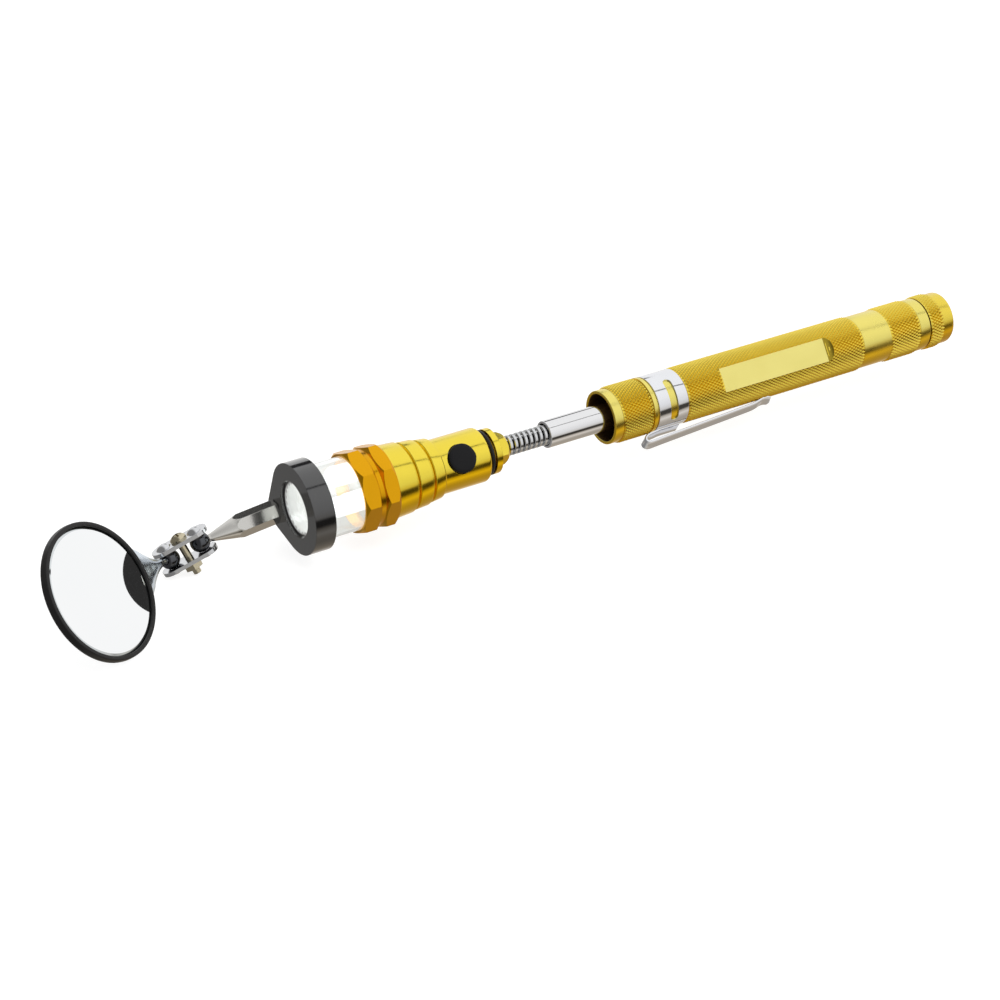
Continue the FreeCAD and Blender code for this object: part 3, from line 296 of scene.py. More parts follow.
def carve(thing, cutter, operation="DIFFERENCE"):
    """Cuts one mesh with another and removes the cutter."""
    modifier = thing.modifiers.new("carve", "BOOLEAN")
    modifier.operation = operation
    modifier.solver = "EXACT"
    modifier.object = cutter
    graph = bpy.context.evaluated_depsgraph_get()
    mesh = bpy.data.meshes.new_from_object(thing.evaluated_get(graph))
    thing.modifiers.clear()
    thing.data = mesh
    mesh.shade_smooth()
    mesh.set_sharp_from_angle(angle=SMOOTH_ANGLE)
    bpy.data.objects.remove(cutter)
    return thing


# ---------------------------------------------------------------- materials

def surface(name, colour, metallic=0.0, roughness=0.4, shade=0.85, patch=90.0, grain=0.0,
            grain_size=6000.0, turning=0.0, edge=0.0, coat=0.0, shine=0.5, under_shade=None):
    """A layered finish: uneven colour and gloss, fine grain, lathe lines and softened edges, and
    painted shade towards a given darker colour where the finish reflects what lies below.
    """
    material = bpy.data.materials.new(name)
    material.use_nodes = True
    nodes = material.node_tree.nodes
    link = material.node_tree.links.new
    shader = nodes["Principled BSDF"]
    shader.inputs["Metallic"].default_value = metallic
    shader.inputs["Specular IOR Level"].default_value = shine
    shader.inputs["Coat Weight"].default_value = coat
    shader.inputs["Coat Roughness"].default_value = 0.08
    where = nodes.new("ShaderNodeTexCoord")

    cloud = nodes.new("ShaderNodeTexNoise")
    cloud.inputs["Scale"].default_value = patch
    cloud.inputs["Detail"].default_value = 5
    link(where.outputs["Object"], cloud.inputs["Vector"])

    tint = nodes.new("ShaderNodeMix")
    tint.data_type = "RGBA"
    tint.inputs["A"].default_value = (*[channel * shade for channel in colour], 1)
    tint.inputs["B"].default_value = (*colour, 1)
    link(cloud.outputs["Fac"], tint.inputs["Factor"])
    link(tint.outputs["Result"], shader.inputs["Base Color"])
    # Painted shade: a darker colour where the surface reflects the floor below.
    if under_shade:
        paint_under_shade(nodes, link, where, tint, shader, under_shade)

    gloss = nodes.new("ShaderNodeMapRange")
    gloss.inputs["From Min"].default_value = 0.3
    gloss.inputs["From Max"].default_value = 0.7
    gloss.inputs["To Min"].default_value = roughness * 0.8
    gloss.inputs["To Max"].default_value = roughness * 1.25
    link(cloud.outputs["Fac"], gloss.inputs["Value"])
    link(gloss.outputs["Result"], shader.inputs["Roughness"])

    normal = None
    if edge:
        soften = nodes.new("ShaderNodeBevel")
        soften.inputs["Radius"].default_value = edge * MM
        normal = soften.outputs["Normal"]
    if turning:
        stretch = nodes.new("ShaderNodeMapping")
        stretch.inputs["Scale"].default_value = (5000, 40, 40)
        link(where.outputs["Object"], stretch.inputs["Vector"])
        normal = bump(nodes, link, stretch.outputs["Vector"], 1.0, turning, normal)
    if grain:
        normal = bump(nodes, link, where.outputs["Object"], grain_size, grain, normal)
    if normal:
        link(normal, shader.inputs["Normal"])
    return material


def paint_under_shade(nodes, link, where, tint, shader, under_shade):
    """Painted shade: turn the colour towards a darker, more orange one where the finish reflects what
    lies below.
    """
    glance = nodes.new("ShaderNodeSeparateXYZ")
    link(where.outputs["Reflection"], glance.inputs["Vector"])
    level = nodes.new("ShaderNodeMapRange")
    level.inputs["From Min"].default_value = -0.5
    level.inputs["From Max"].default_value = 0.1
    link(glance.outputs["Z"], level.inputs["Value"])
    mixed = nodes.new("ShaderNodeMix")
    mixed.data_type = "RGBA"
    mixed.inputs["A"].default_value = (*under_shade, 1)
    link(tint.outputs["Result"], mixed.inputs["B"])
    link(level.outputs["Result"], mixed.inputs["Factor"])
    link(mixed.outputs["Result"], shader.inputs["Base Color"])


def bump(nodes, link, vector, scale, strength, normal):
    """A noise bump laid over a normal; returns the new normal."""
    noise = nodes.new("ShaderNodeTexNoise")
    noise.inputs["Scale"].default_value = scale
    noise.inputs["Detail"].default_value = 3
    link(vector, noise.inputs["Vector"])
    raised = nodes.new("ShaderNodeBump")
    raised.inputs["Strength"].default_value = strength
    raised.inputs["Distance"].default_value = 0.02 * MM
    link(noise.outputs["Fac"], raised.inputs["Height"])
    if normal:
        link(normal, raised.inputs["Normal"])
    return raised.outputs["Normal"]


# Each gold's second, darker colour is painted shade for the faces that reflect what lies below.
def turned_gold():
    return surface("turned_gold", (0.90, 0.78, 0.20), 1.0, 0.25, turning=0.35, edge=0.12,
                   under_shade=(0.88, 0.55, 0.02))


def knurled_gold():
    return surface("knurled_gold", (0.92, 0.70, 0.09), 1.0, 0.19, shade=0.86, grain=0.3, edge=0.03,
                   under_shade=(0.72, 0.42, 0.006))


def label_gold():
    return surface("label_gold", (0.90, 0.80, 0.25), 0.7, 0.45, shade=0.96, grain=0.4)


def torch_gold():
    return surface("torch_gold", (0.93, 0.74, 0.08), 1.0, 0.16, turning=0.45, edge=0.15,
                   under_shade=(0.93, 0.57, 0.004))


def orange_gold():
    return surface("orange_gold", (0.82, 0.40, 0.008), 1.0, 0.22, turning=0.12, edge=0.15)


def cap_gold():
    return surface("cap_gold", (0.89, 0.69, 0.09), 1.0, 0.24, turning=0.3, edge=0.08,
                   under_shade=(0.86, 0.49, 0.004))


# Painted shade: the cutter's hollow gets a gold at about half the brightness of the others.
def shaded_scoop_gold():
    return surface("shaded_scoop_gold", (0.40, 0.29, 0.03), 1.0, 0.30, shade=0.7, turning=0.5)


# Painted shade: the handle's bore is a very dark brown metal, standing in for the shade inside the
# tube.
def shaded_bore_brown():
    return surface("shaded_bore_brown", (0.16, 0.09, 0.035), 1.0, 0.45, turning=0.5)


def chrome():
    return surface("chrome", (0.80, 0.80, 0.81), 1.0, 0.07, shade=0.94, turning=0.06, edge=0.08)


def clip_chrome():
    return surface("clip_chrome", (0.82, 0.83, 0.86), 1.0, 0.09, shade=0.93, grain=0.05, edge=0.1)


def arm_chrome():
    return surface("arm_chrome", (0.62, 0.61, 0.58), 1.0, 0.10, shade=0.85, grain=0.08, edge=0.12)


def tang_chrome():
    return surface("tang_chrome", (0.74, 0.80, 0.86), 1.0, 0.13, shade=0.88, grain=0.12)


def zinc():
    return surface("zinc", (0.76, 0.77, 0.79), 1.0, 0.15, shade=0.7, patch=300.0, grain=0.3, edge=0.12)


def pale_brass():
    return surface("pale_brass", (0.68, 0.61, 0.44), 1.0, 0.20, shade=0.7, grain=0.2, edge=0.08)


def spring_steel():
    return surface("spring_steel", (0.70, 0.71, 0.72), 1.0, 0.18, shade=0.85, grain=0.15)


def dark_steel():
    return surface("dark_steel", (0.10, 0.105, 0.115), 1.0, 0.14, shade=0.8, grain=0.05)


def dark_core():
    return surface("dark_core", (0.05, 0.05, 0.055), 0.6, 0.4, shade=0.7, grain=0.3)


def brass():
    return surface("brass", (0.70, 0.50, 0.22), 1.0, 0.28, shade=0.8, turning=0.3)


def rim_rubber():
    return surface("rim_rubber", (0.016, 0.015, 0.015), 0.0, 0.40, shade=0.4, patch=400.0,
                   grain=0.9, grain_size=2500.0, shine=0.3)


def seal_rubber():
    return surface("seal_rubber", (0.012, 0.011, 0.011), 0.0, 0.38, shade=0.6, grain=0.3,
                   shine=0.3)


def button_rubber():
    return surface("button_rubber", (0.006, 0.006, 0.007), 0.0, 0.5, shade=0.8, grain=0.6,
                   edge=0.2, shine=0.2)


def gloss_black():
    return surface("gloss_black", (0.005, 0.005, 0.006), 0.0, 0.12, shade=0.7, grain=0.10,
                   edge=0.3, coat=0.8, shine=0.9)


def board_white():
    return surface("board_white", (0.80, 0.80, 0.76), 0.0, 0.5, shade=0.85, grain=0.3)


def insulator():
    return surface("insulator", (0.75, 0.76, 0.72), 0.0, 0.4, shade=0.9, grain=0.2)


def mirror_silver():
    return surface("mirror_silver", (0.93, 0.94, 0.945), 1.0, 0.012, shade=0.98, patch=60.0)


def mirror_bevel():
    return surface("mirror_bevel", (0.70, 0.73, 0.74), 1.0, 0.03, shade=0.9, patch=200.0)


def clear_plastic():
    """Clear moulded plastic with slightly uneven walls and a painted glow: a faint white emission,
    though the plastic is no lamp.
    """
    material = surface("clear_plastic", (0.97, 0.98, 0.98), 0.0, 0.04, shade=0.98, grain=0.08,
                       grain_size=900.0)
    shader = material.node_tree.nodes["Principled BSDF"]
    shader.inputs["Transmission Weight"].default_value = 1.0
    shader.inputs["IOR"].default_value = 1.47
    # Painted glow: faint white light given off by the plastic itself.
    shader.inputs["Emission Color"].default_value = (0.95, 0.97, 0.93, 1)
    shader.inputs["Emission Strength"].default_value = 0.13
    return material


def lamp_glow(name, strength):
    """A lit lamp: brightest in its middle, with an uneven lens."""
    material = surface(name, (0.95, 0.96, 1.0), 0.0, 0.2, shade=0.9, grain=0.2)
    nodes = material.node_tree.nodes
    link = material.node_tree.links.new
    shader = nodes["Principled BSDF"]
    shader.inputs["Emission Color"].default_value = (0.93, 0.97, 1.0, 1)
    facing = nodes.new("ShaderNodeLayerWeight")
    facing.inputs["Blend"].default_value = 0.4
    fade = nodes.new("ShaderNodeMapRange")
    fade.inputs["To Min"].default_value = strength
    fade.inputs["To Max"].default_value = strength * 0.35
    link(facing.outputs["Facing"], fade.inputs["Value"])
    link(fade.outputs["Result"], shader.inputs["Emission Strength"])
    return material


# ---------------------------------------------------------------- handle

def knurl(name, rear, front, wall_radius, material, milled=False):
    """A band of real diamond knurling, milled away under the label if asked."""
    rows = 2 * round((front - rear) / KNURL_PITCH)
    columns = 2 * KNURL_COUNT
    valley = KNURL_RADIUS - KNURL_DEPTH
    label_side = outward(LABEL_ROLL)
    vertices = []
    for row in range(-1, rows + 2):
        station = rear + (front - rear) * min(max(row, 0), rows) / rows
        for column in range(columns):
            away = outward(LABEL_ROLL + column * 360 / columns)
            radius = KNURL_RADIUS if (row + column) % 2 else valley
            if row in (0, rows):
                radius = valley
            if row in (-1, rows + 1):
                radius = wall_radius
            point = away * radius
            limit = flat_height(station) if milled else KNURL_RADIUS
            if point.dot(label_side) > limit:
                point -= label_side * (point.dot(label_side) - limit)
            vertices.append(point + Vector((-station, 0, 0)))
    faces = []
    for row in range(rows + 2):
        for column in range(columns):
            here = row * columns + column
            side = row * columns + (column + 1) % columns
            ahead = here + columns
            both = side + columns
            if (row + column) % 2:
                faces += [(here, side, both), (here, both, ahead)]
            else:
                faces += [(here, side, ahead), (side, both, ahead)]
    return piece(name, vertices, faces, material, smooth=False)


def flat_height(station):
    """Height of the milled surface above the axis: a flat with a cutter's scoop at its rear."""
    floor = KNURL_RADIUS - LABEL_DEPTH
    past = max(LABEL_REAR - station, 0)
    if past >= LABEL_RUN or station > LABEL_FRONT:
        return KNURL_RADIUS
    return floor + LABEL_CUTTER - math.sqrt(LABEL_CUTTER ** 2 - past ** 2)


def label_plate(material):
    """The smooth label flat, with crisp straight edges that stand up to the knurl's crests."""
    floor = KNURL_RADIUS - LABEL_DEPTH + 0.01
    half = math.sqrt(KNURL_RADIUS ** 2 - floor ** 2)
    away = outward(LABEL_ROLL)
    side = outward(LABEL_ROLL + 90)
    section = [(-half, floor), (half, floor), (half - 0.3, floor - 0.5), (0.3 - half, floor - 0.5)]
    rings = []
    for station in (LABEL_REAR, LABEL_FRONT):
        rings.append([Vector((-station, 0, 0)) + side * across + away * rise
                      for across, rise in section])
    return swept("handle_label", rings, material)


def label_scoop(material):
    """The bright-cut, shaded hollow that the cutter leaves at the label's rear end."""
    away = outward(LABEL_ROLL)
    side = outward(LABEL_ROLL + 90)
    rings = []
    steps = 16
    for step in range(steps + 1):
        station = LABEL_REAR - LABEL_RUN * 0.995 * step / steps
        height = flat_height(station) + 0.015
        half = math.sqrt(max(KNURL_RADIUS ** 2 - height ** 2, 0.01))
        middle = Vector((-station, 0, 0)) + away * height
        rings.append([middle - side * half, middle + side * half,
                      middle + side * half - away * 0.02, middle - side * half - away * 0.02])
    return swept("handle_label_scoop", rings, material)


def build_cap(gold):
    """The knurled end cap: rounded smooth end, knurl and thread spigot."""
    cap = turned("end_cap_turned", [
        (0, 0), (0, MOUTH_RADIUS, 0.9), (CAP_SMOOTH_END, MOUTH_RADIUS),
        (CAP_SMOOTH_END, MOUTH_RADIUS - SKIN), (CAP_FRONT, MOUTH_RADIUS - SKIN),
        (CAP_FRONT, HANDLE_BORE - 0.06), (12.6, HANDLE_BORE - 0.06), (12.6, 4.6), (6.6, 4.6),
        (6.6, 0),
    ], gold, closed=False)
    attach(cap, "handle")
    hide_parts("end_cap")
    band = knurl("end_cap_knurl", CAP_SMOOTH_END, CAP_FRONT, MOUTH_RADIUS - SKIN, gold)
    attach(band, "handle")


def build_handle(gold, rough, label, bore):
    """The handle's turned rings, its three knurls and its bore."""
    inner = BAND_RADIUS - SKIN
    rings = [
        ("handle_rear_ring", HANDLE_REAR, RING_FRONT, BAND_RADIUS, 0.35, 0.1),
        ("handle_band", REAR_KNURL_FRONT, BAND_FRONT, BAND_RADIUS, 0.05, 0.05),
        ("handle_recess", GRIP_FRONT, RECESS_FRONT, RECESS_RADIUS, 0.05, 0.05),
        ("handle_shoulder", RECESS_FRONT, SHOULDER_FRONT, KNURL_RADIUS - 0.1, 0.3, 0.05),
        ("handle_mouth_ring", FRONT_KNURL_FRONT, MOUTH, MOUTH_RADIUS, 0.05, 0.4),
    ]
    for name, rear, front, radius, rear_fillet, front_fillet in rings:
        ring = turned(name, [
            (rear, inner - 0.2), (rear, radius, rear_fillet), (front, radius, front_fillet),
            (front, inner - 0.2),
        ], gold)
        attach(ring, "handle")
    knurls = [
        ("handle_rear_knurl", RING_FRONT, REAR_KNURL_FRONT, False),
        ("handle_grip_knurl", BAND_FRONT, GRIP_FRONT, True),
        ("handle_front_knurl", SHOULDER_FRONT, FRONT_KNURL_FRONT, False),
    ]
    for name, rear, front, milled in knurls:
        band = knurl(name, rear, front, inner - 0.2, rough, milled)
        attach(band, "handle")
    for thing in (label_plate(label), label_scoop(shaded_scoop_gold())):
        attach(thing, "handle")
    wall = turned("handle_bore", [
        (HANDLE_REAR, HANDLE_BORE), (HANDLE_REAR, BORE_SKIN), (MOUTH - 0.1, BORE_SKIN),
        (MOUTH - 0.1, HANDLE_BORE + 0.25), (MOUTH - 0.6, HANDLE_BORE),
    ], bore)
    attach(wall, "handle")
    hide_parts("handle_tube")
    lip = turned("handle_mouth_lip", [
        (MOUTH - 0.4, inner), (MOUTH - 0.4, MOUTH_RADIUS - 0.3),
        (MOUTH + 0.02, MOUTH_RADIUS - 0.3, 0.1), (MOUTH + 0.02, HANDLE_BORE + 0.3, 0.1),
        (MOUTH - 0.4, HANDLE_BORE + 0.12),
    ], gold)
    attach(lip, "handle")


# ---------------------------------------------------------------- pocket clip

def clip_band(material):
    """The chromed band with its round-ended slots, one on each side."""
    outer = RECESS_RADIUS + CLIP_SHEET
    band = turned("clip_band", [
        (CLIP_REAR, RECESS_RADIUS + 0.02), (CLIP_REAR, outer, 0.12), (CLIP_FRONT, outer, 0.12),
        (CLIP_FRONT, RECESS_RADIUS + 0.02),
    ], material, sides=180)
    for side in (0, 180):
        carve(band, slot_cutter(LABEL_ROLL + CLIP_SLOT_TURN + side))
    return band


def slot_cutter(centre):
    """A curved, round-ended block that follows the band round the axis."""
    half = CLIP_SLOT_WIDTH / 2
    middle = CLIP_SLOT_REAR + half
    inner = RECESS_RADIUS - 0.6
    outer = RECESS_RADIUS + CLIP_SHEET + 0.6
    end_swing = half / RECESS_RADIUS
    straight_swing = math.radians(CLIP_SLOT_SPAN / 2) - end_swing
    steps = 48
    sections = []
    for step in range(steps + 1):
        swing = (straight_swing + end_swing) * (2 * step / steps - 1)
        past = max(abs(swing) - straight_swing, 0) / end_swing
        width = half * math.sqrt(max(1 - past ** 2, 0.0004))
        away = outward(centre + math.degrees(swing))
        sections.append([Vector((-middle + side * width, 0, 0)) + away * radius
                         for side, radius in ((-1, inner), (1, inner), (1, outer), (-1, outer))])
    return swept("slot_cutter", sections, None)


def clip_arm(material):
    """The bent strip: tab under the band, hairpin bend, channelled arm, dimple and flared tip."""
    down = outward(LABEL_ROLL + 90)
    tilt = math.radians(CLIP_TILT)
    side = outward(LABEL_ROLL) * math.cos(tilt) - down * math.sin(tilt)
    route = [(90.0, 7.72), (95.0, 7.75), (97.2, 7.95), (99.2, 8.2), (100.3, 8.7), (100.6, 9.3),
             (100.2, 9.9), (99.0, 10.25), (95.0, 10.05), (88.0, 9.7), (80.0, 9.3), (71.0, 8.85),
             (66.4, 8.6), (64.6, 8.3), (63.2, 7.98), (62.0, 7.98), (61.0, 8.25), (60.6, 8.5)]
    path = smooth_path([Vector((station, reach)) for station, reach in route], 8)
    rings = []
    length = len(path) - 1
    for index, point in enumerate(path):
        ahead = path[min(index + 1, length)] - path[max(index - 1, 0)]
        lift = Vector((ahead.y, -ahead.x)).normalized()
        near_tip = max(0, 1 - (length - index) / 12)
        half = CLIP_WIDTH / 2 * math.sqrt(max(1 - near_tip ** 2, 0.02))
        groove = 0.22 if 40 < index < length - 34 else 0
        section = [(-half, -0.25), (-half, 0.15), (-half + 0.3, 0.4), (-half + 0.75, 0.4),
                   (-half + 1.05, 0.4 - groove), (half - 1.05, 0.4 - groove), (half - 0.75, 0.4),
                   (half - 0.3, 0.4), (half, 0.15), (half, -0.25), (half - 0.25, -0.4),
                   (0.25 - half, -0.4)]
        ring = []
        for across, rise in section:
            spot = point + lift * rise
            across = max(-half, min(half, across))
            ring.append(Vector((-spot.x, 0, 0)) + down * spot.y + side * across)
        rings.append(ring)
    return swept("clip_arm", rings, material)


def build_clip(material):
    band = clip_band(material)
    arm = clip_arm(material)
    for thing in (band, arm):
        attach(thing, "handle")
    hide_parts("pocket_clip")


# ---------------------------------------------------------------- tubes and neck

def build_front_tube(material):
    """The thickest chromed tube with its rolled lips."""
    thing = turned("front_tube", [
        (TUBE_REAR, 3.19), (TUBE_REAR, TUBE_RADIUS, 0.1), (TUBE_FRONT, TUBE_RADIUS, 0.4),
        (TUBE_FRONT, NECK_LIP + 0.12, 0.15), (TUBE_FRONT - 0.8, NECK_LIP + 0.12),
        (TUBE_FRONT - 0.8, TUBE_RADIUS - TUBE_WALL), (TUBE_REAR + 0.8, TUBE_RADIUS - TUBE_WALL),
        (TUBE_REAR + 0.8, 3.19),
    ], material)
    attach(thing, "section_1")
    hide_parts("tube_1")


def build_spring(material):
    """The flat-wound spring of the neck, running straight between the tube and the torch."""
    half_width = 0.50
    half_depth = 0.30
    corner = 0.18
    section = [(-half_width, -half_depth), (half_width, -half_depth),
               (half_width, half_depth - corner), (half_width - corner, half_depth),
               (corner - half_width, half_depth), (-half_width, half_depth - corner)]
    per_turn = 40
    turns = (NECK_FRONT - NECK_REAR - 2 * half_width) / SPRING_PITCH
    rings = []
    for step in range(int(turns * per_turn) + 1):
        station = NECK_REAR + half_width + SPRING_PITCH * step / per_turn
        away = outward(step * 360 / per_turn)
        middle = SPRING_RADIUS - half_depth
        rings.append([Vector((-station - across, 0, 0)) + away * (middle + rise)
                      for across, rise in section])
    spring = swept("neck_spring_coil", rings, material)
    bend_neck(spring)
    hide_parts("neck_spring")


def build_core(material):
    """The bendable core inside the spring."""
    steps = 60
    outline = [(NECK_REAR, 0)]
    for step in range(steps + 1):
        station = NECK_REAR + (NECK_FRONT - NECK_REAR) * step / steps
        outline.append((station, CORE_RADIUS if step % 2 else CORE_RADIUS - 0.06))
    outline.append((NECK_FRONT, 0))
    core = turned("neck_core_rod", outline, material, closed=False, sides=24)
    bend_neck(core)
    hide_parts("neck_core")


def bend_neck(thing):
    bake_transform(thing)


# ---------------------------------------------------------------- torch

def build_torch_body(material):
    """The ribbed housing, with rounded edges and the hole for the button."""
    rear = REAR_RIB
    middle = MIDDLE_RIB
    second = SECOND_RIB - GROOVE_WIDTH
    first = FIRST_RIB - GROOVE_WIDTH
    thing = turned("torch_housing", [
        (BODY_REAR, PLUG_BORE), (BODY_REAR, BARREL_RADIUS, 0.9),
        (BARREL_FRONT, BARREL_RADIUS, 0.3), (BARREL_FRONT + 0.35, rear - 0.3, 0.25),
        (second - 0.15, rear, 0.3), (second + 0.1, rear - GROOVE_DEPTH, 0.1),
        (SECOND_RIB, rear - GROOVE_DEPTH, 0.1), (SECOND_RIB + 0.3, rear + RIB_STEP, 0.3),
        (first - 0.15, middle, 0.3), (first + 0.1, middle - GROOVE_DEPTH, 0.1),
        (FIRST_RIB, middle - GROOVE_DEPTH, 0.1), (FIRST_RIB + 0.3, middle + RIB_STEP, 0.3),
        (BEZEL_REAR, FRONT_RIB), (BEZEL_REAR, BODY_SPIGOT), (SPIGOT_FRONT, BODY_SPIGOT),
        (SPIGOT_FRONT, CELL_BORE), (SHOULDER, CELL_BORE), (SHOULDER, PLUG_BORE),
    ], material)
    away = outward(LABEL_ROLL)
    place = place_of(Vector((-BUTTON_STATION, 0, 0)), away, Vector((1, 0, 0)))
    wide = BUTTON_RADIUS + 0.3
    hole = turned("button_cutter", [
        (2.0, 0), (2.0, BUTTON_RADIUS), (6.75, BUTTON_RADIUS), (7.1, wide), (12, wide), (12, 0),
    ], material, closed=False, place=place, sides=72)
    carve(thing, hole)
    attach(thing, "torch")
    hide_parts("torch_body")


def build_button(material):
    """The round button with a low dome and a softened edge."""
    wide = BUTTON_RADIUS - 0.06
    away = outward(LABEL_ROLL)
    place = place_of(Vector((-BUTTON_STATION, 0, 0)), away, Vector((1, 0, 0)))
    thing = turned("button_dome", [
        (6.85, 0), (6.85, wide), (7.55, wide, 0.35), (7.74, wide - 0.8, 1.5), (7.8, 0),
    ], material, closed=False, place=place, sides=72)
    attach(thing, "button")
    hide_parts("button_cap")


def build_lens(clear, ring_material):
    """The clear barrel with its faceted front window, and the bright ring round the window."""
    thing = turned("lens_shell", [
        (BOARD_REAR, LENS_BORE), (BOARD_REAR, LENS_RADIUS, 0.1),
        (LENS_FRONT, LENS_RADIUS, 0.5), (LENS_FRONT, 0), (LENS_FRONT - 1.2, 0),
        (LENS_FRONT - 2.0, LENS_BORE - 0.4), (LENS_FRONT - 3.0, LENS_BORE),
    ], clear)
    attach(thing, "torch")
    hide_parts("lens_barrel")
    facets = 24
    rings = []
    steps = ((LENS_FRONT + 0.02, 6.3), (LENS_FRONT + 0.35, 5.2), (LENS_FRONT + 0.25, 0.6))
    for station, radius in steps:
        ring = []
        for side in range(2 * facets):
            rise = 0.12 if side % 2 and radius > 1 else 0
            away = outward(side * 180 / facets)
            ring.append(Vector((-station - rise, 0, 0)) + away * radius)
        rings.append(ring)
    window = swept("lens_window", rings, clear)
    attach(window, "torch")
    ring = turned("lens_ring", [
        (LENS_FRONT, 6.35), (LENS_FRONT, 7.0), (LENS_FRONT + 0.45, 7.0, 0.15),
        (LENS_FRONT + 0.45, 6.35, 0.15),
    ], ring_material)
    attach(ring, "torch")


# ---------------------------------------------------------------- arm, clamp and mirror

def arm_axis():
    """The arm's direction: along the tool, leaning back across the lug."""
    lean = math.radians(ARM_LEAN)
    return Vector((-1, 0, 0)) * math.cos(lean) + outward(LUG_ROLL - 90) * math.sin(lean)


def arm_ball_point():
    foot = Vector((-COLLAR_FRONT, 0, 0)) + outward(LUG_ROLL) * LUG_REACH
    return foot + arm_axis() * ARM_REACH


def mirror_ball_point():
    return arm_ball_point() + CLAMP_ALONG.normalized() * BALL_SPACING


def mirror_place():
    """The mirror's middle: z is its outward normal and x points to its ball's side."""
    centre = mirror_ball_point() + MIRROR_SIDE.normalized() * MIRROR_REACH
    centre += MIRROR_FACE.normalized() * BALL_DROP
    return place_of(centre, MIRROR_FACE, -MIRROR_SIDE)


def tang_place():
    """The tang's root under the back: z runs along the tang to the ball and x across it."""
    place = mirror_place()
    root = place @ Vector((TANG_START, 0, -1.35))
    across = place.to_3x3() @ Vector((0, 1, 0))
    return place_of(root, mirror_ball_point() - root, across)


def build_screw_thread(material):
    """The rolled thread on the clamp screw's shank."""
    middle = (arm_ball_point() + mirror_ball_point()) / 2
    place = place_of(middle, CLAMP_UP, CLAMP_ALONG)
    top = PLATE_GAP / 2
    bottom = -top - PLATE_THICKNESS - 1.6 - 1.6
    pitch = 0.55
    columns = 24
    depth = 0.26
    rings = []
    rows = int((top - bottom) / pitch * 6)
    for row in range(rows + 1):
        height = bottom + (top - bottom) * row / rows
        ring = []
        for column in range(columns):
            turn = 2 * math.pi * column / columns
            phase = (height / pitch + column / columns) % 1
            radius = 1.03 - depth * abs(2 * phase - 1)
            radius = min(radius, 0.75 + (height - bottom) * 0.8)
            ring.append(place @ Vector((radius * math.cos(turn), radius * math.sin(turn), height)))
        rings.append(ring)
    thing = swept("clamp_screw_thread", rings, material)
    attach(thing, "clamp")


def build_rim(material):
    """The rubber rim: a rolled lip, a shallow waist and a rounded back."""
    half = RIM_HEIGHT / 2
    thing = turned("rim_ring", [
        (-half, GLASS_RADIUS + 0.05), (-half, RIM_RADIUS - 0.1, 0.5),
        (-half * 0.2, RIM_RADIUS, 0.2), (half * 0.3, RIM_RADIUS - 0.06, 0.2),
        (half, RIM_RADIUS - 0.1, 0.5), (half, LIP_INNER, 0.2),
        (half - LIP_THICKNESS, LIP_INNER), (half - LIP_THICKNESS, GLASS_RADIUS + 0.05),
    ], material, place=mirror_place())
    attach(thing, "mirror")
    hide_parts("mirror_rim")


def build_glass(silver, bevel):
    """The mirror glass: silvered plane and ground bevel."""
    top = RIM_HEIGHT / 2 - LIP_THICKNESS
    flat = LIP_INNER - 0.75
    thing = turned("glass_plane", [
        (top - 0.9, 0), (top - 0.9, flat), (top, flat), (top, 0),
    ], silver, closed=False, place=mirror_place())
    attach(thing, "mirror")
    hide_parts("mirror_glass")
    edge = turned("glass_bevel", [
        (top - 0.9, flat - 0.01), (top - 0.9, GLASS_RADIUS), (top - 0.35, GLASS_RADIUS),
        (top, flat - 0.01),
    ], bevel, place=mirror_place())
    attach(edge, "mirror")


def build_back(metal):
    """The pressed back with the tang that flares like a spoon towards the glass."""
    under = RIM_HEIGHT / 2 - LIP_THICKNESS - GLASS_THICKNESS
    disc = turned("back_disc", [
        (under - 0.9, 0), (under - 0.9, GLASS_RADIUS - 0.1, 0.4), (under, GLASS_RADIUS - 0.1),
        (under, 0),
    ], metal, closed=False, place=mirror_place())
    place = tang_place()
    length = (mirror_ball_point() - place.translation).length
    knuckle = length - KNUCKLE_BACK
    stations = [
        (0.3, 6.4, 0.40), (6.0, 6.4, 0.40), (10.5, 6.1, 0.42), (12.5, 5.2, 0.46), (14.5, 3.7, 0.55),
        (16.5, 2.4, 0.75), (18.3, 1.55, 0.92), (knuckle - 0.6, 1.15, 1.0), (knuckle + 0.2, 0.95, 0.92),
        (knuckle + 0.8, 0.88, 0.88), (length - 0.7, 0.88, 0.88),
    ]
    rings = []
    columns = 32
    for reach, width, thick in smooth_path([Vector(station) for station in stations], 5):
        ring = []
        round_share = min(max((reach - 13) / 5, 0), 1)
        for column in range(columns):
            turn = 2 * math.pi * column / columns
            across = math.cos(turn)
            rise = math.sin(turn)
            square = 1 / (abs(across) ** 3 + abs(rise) ** 3) ** (1 / 3)
            scale = square * (1 - round_share) + round_share
            ring.append(place @ Vector((width * across * scale, thick * rise * scale, reach)))
        rings.append(ring)
    tang = swept("back_tang", rings, metal)
    for thing in (disc, tang):
        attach(thing, "mirror")
    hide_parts("mirror_back")


# ---------------------------------------------------------------- CAD nodes kept as they are

def dress(names, material):
    """Gives kept CAD nodes a finish."""
    for name in names:
        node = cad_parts[name]
        node.data.materials.clear()
        node.data.materials.append(material)


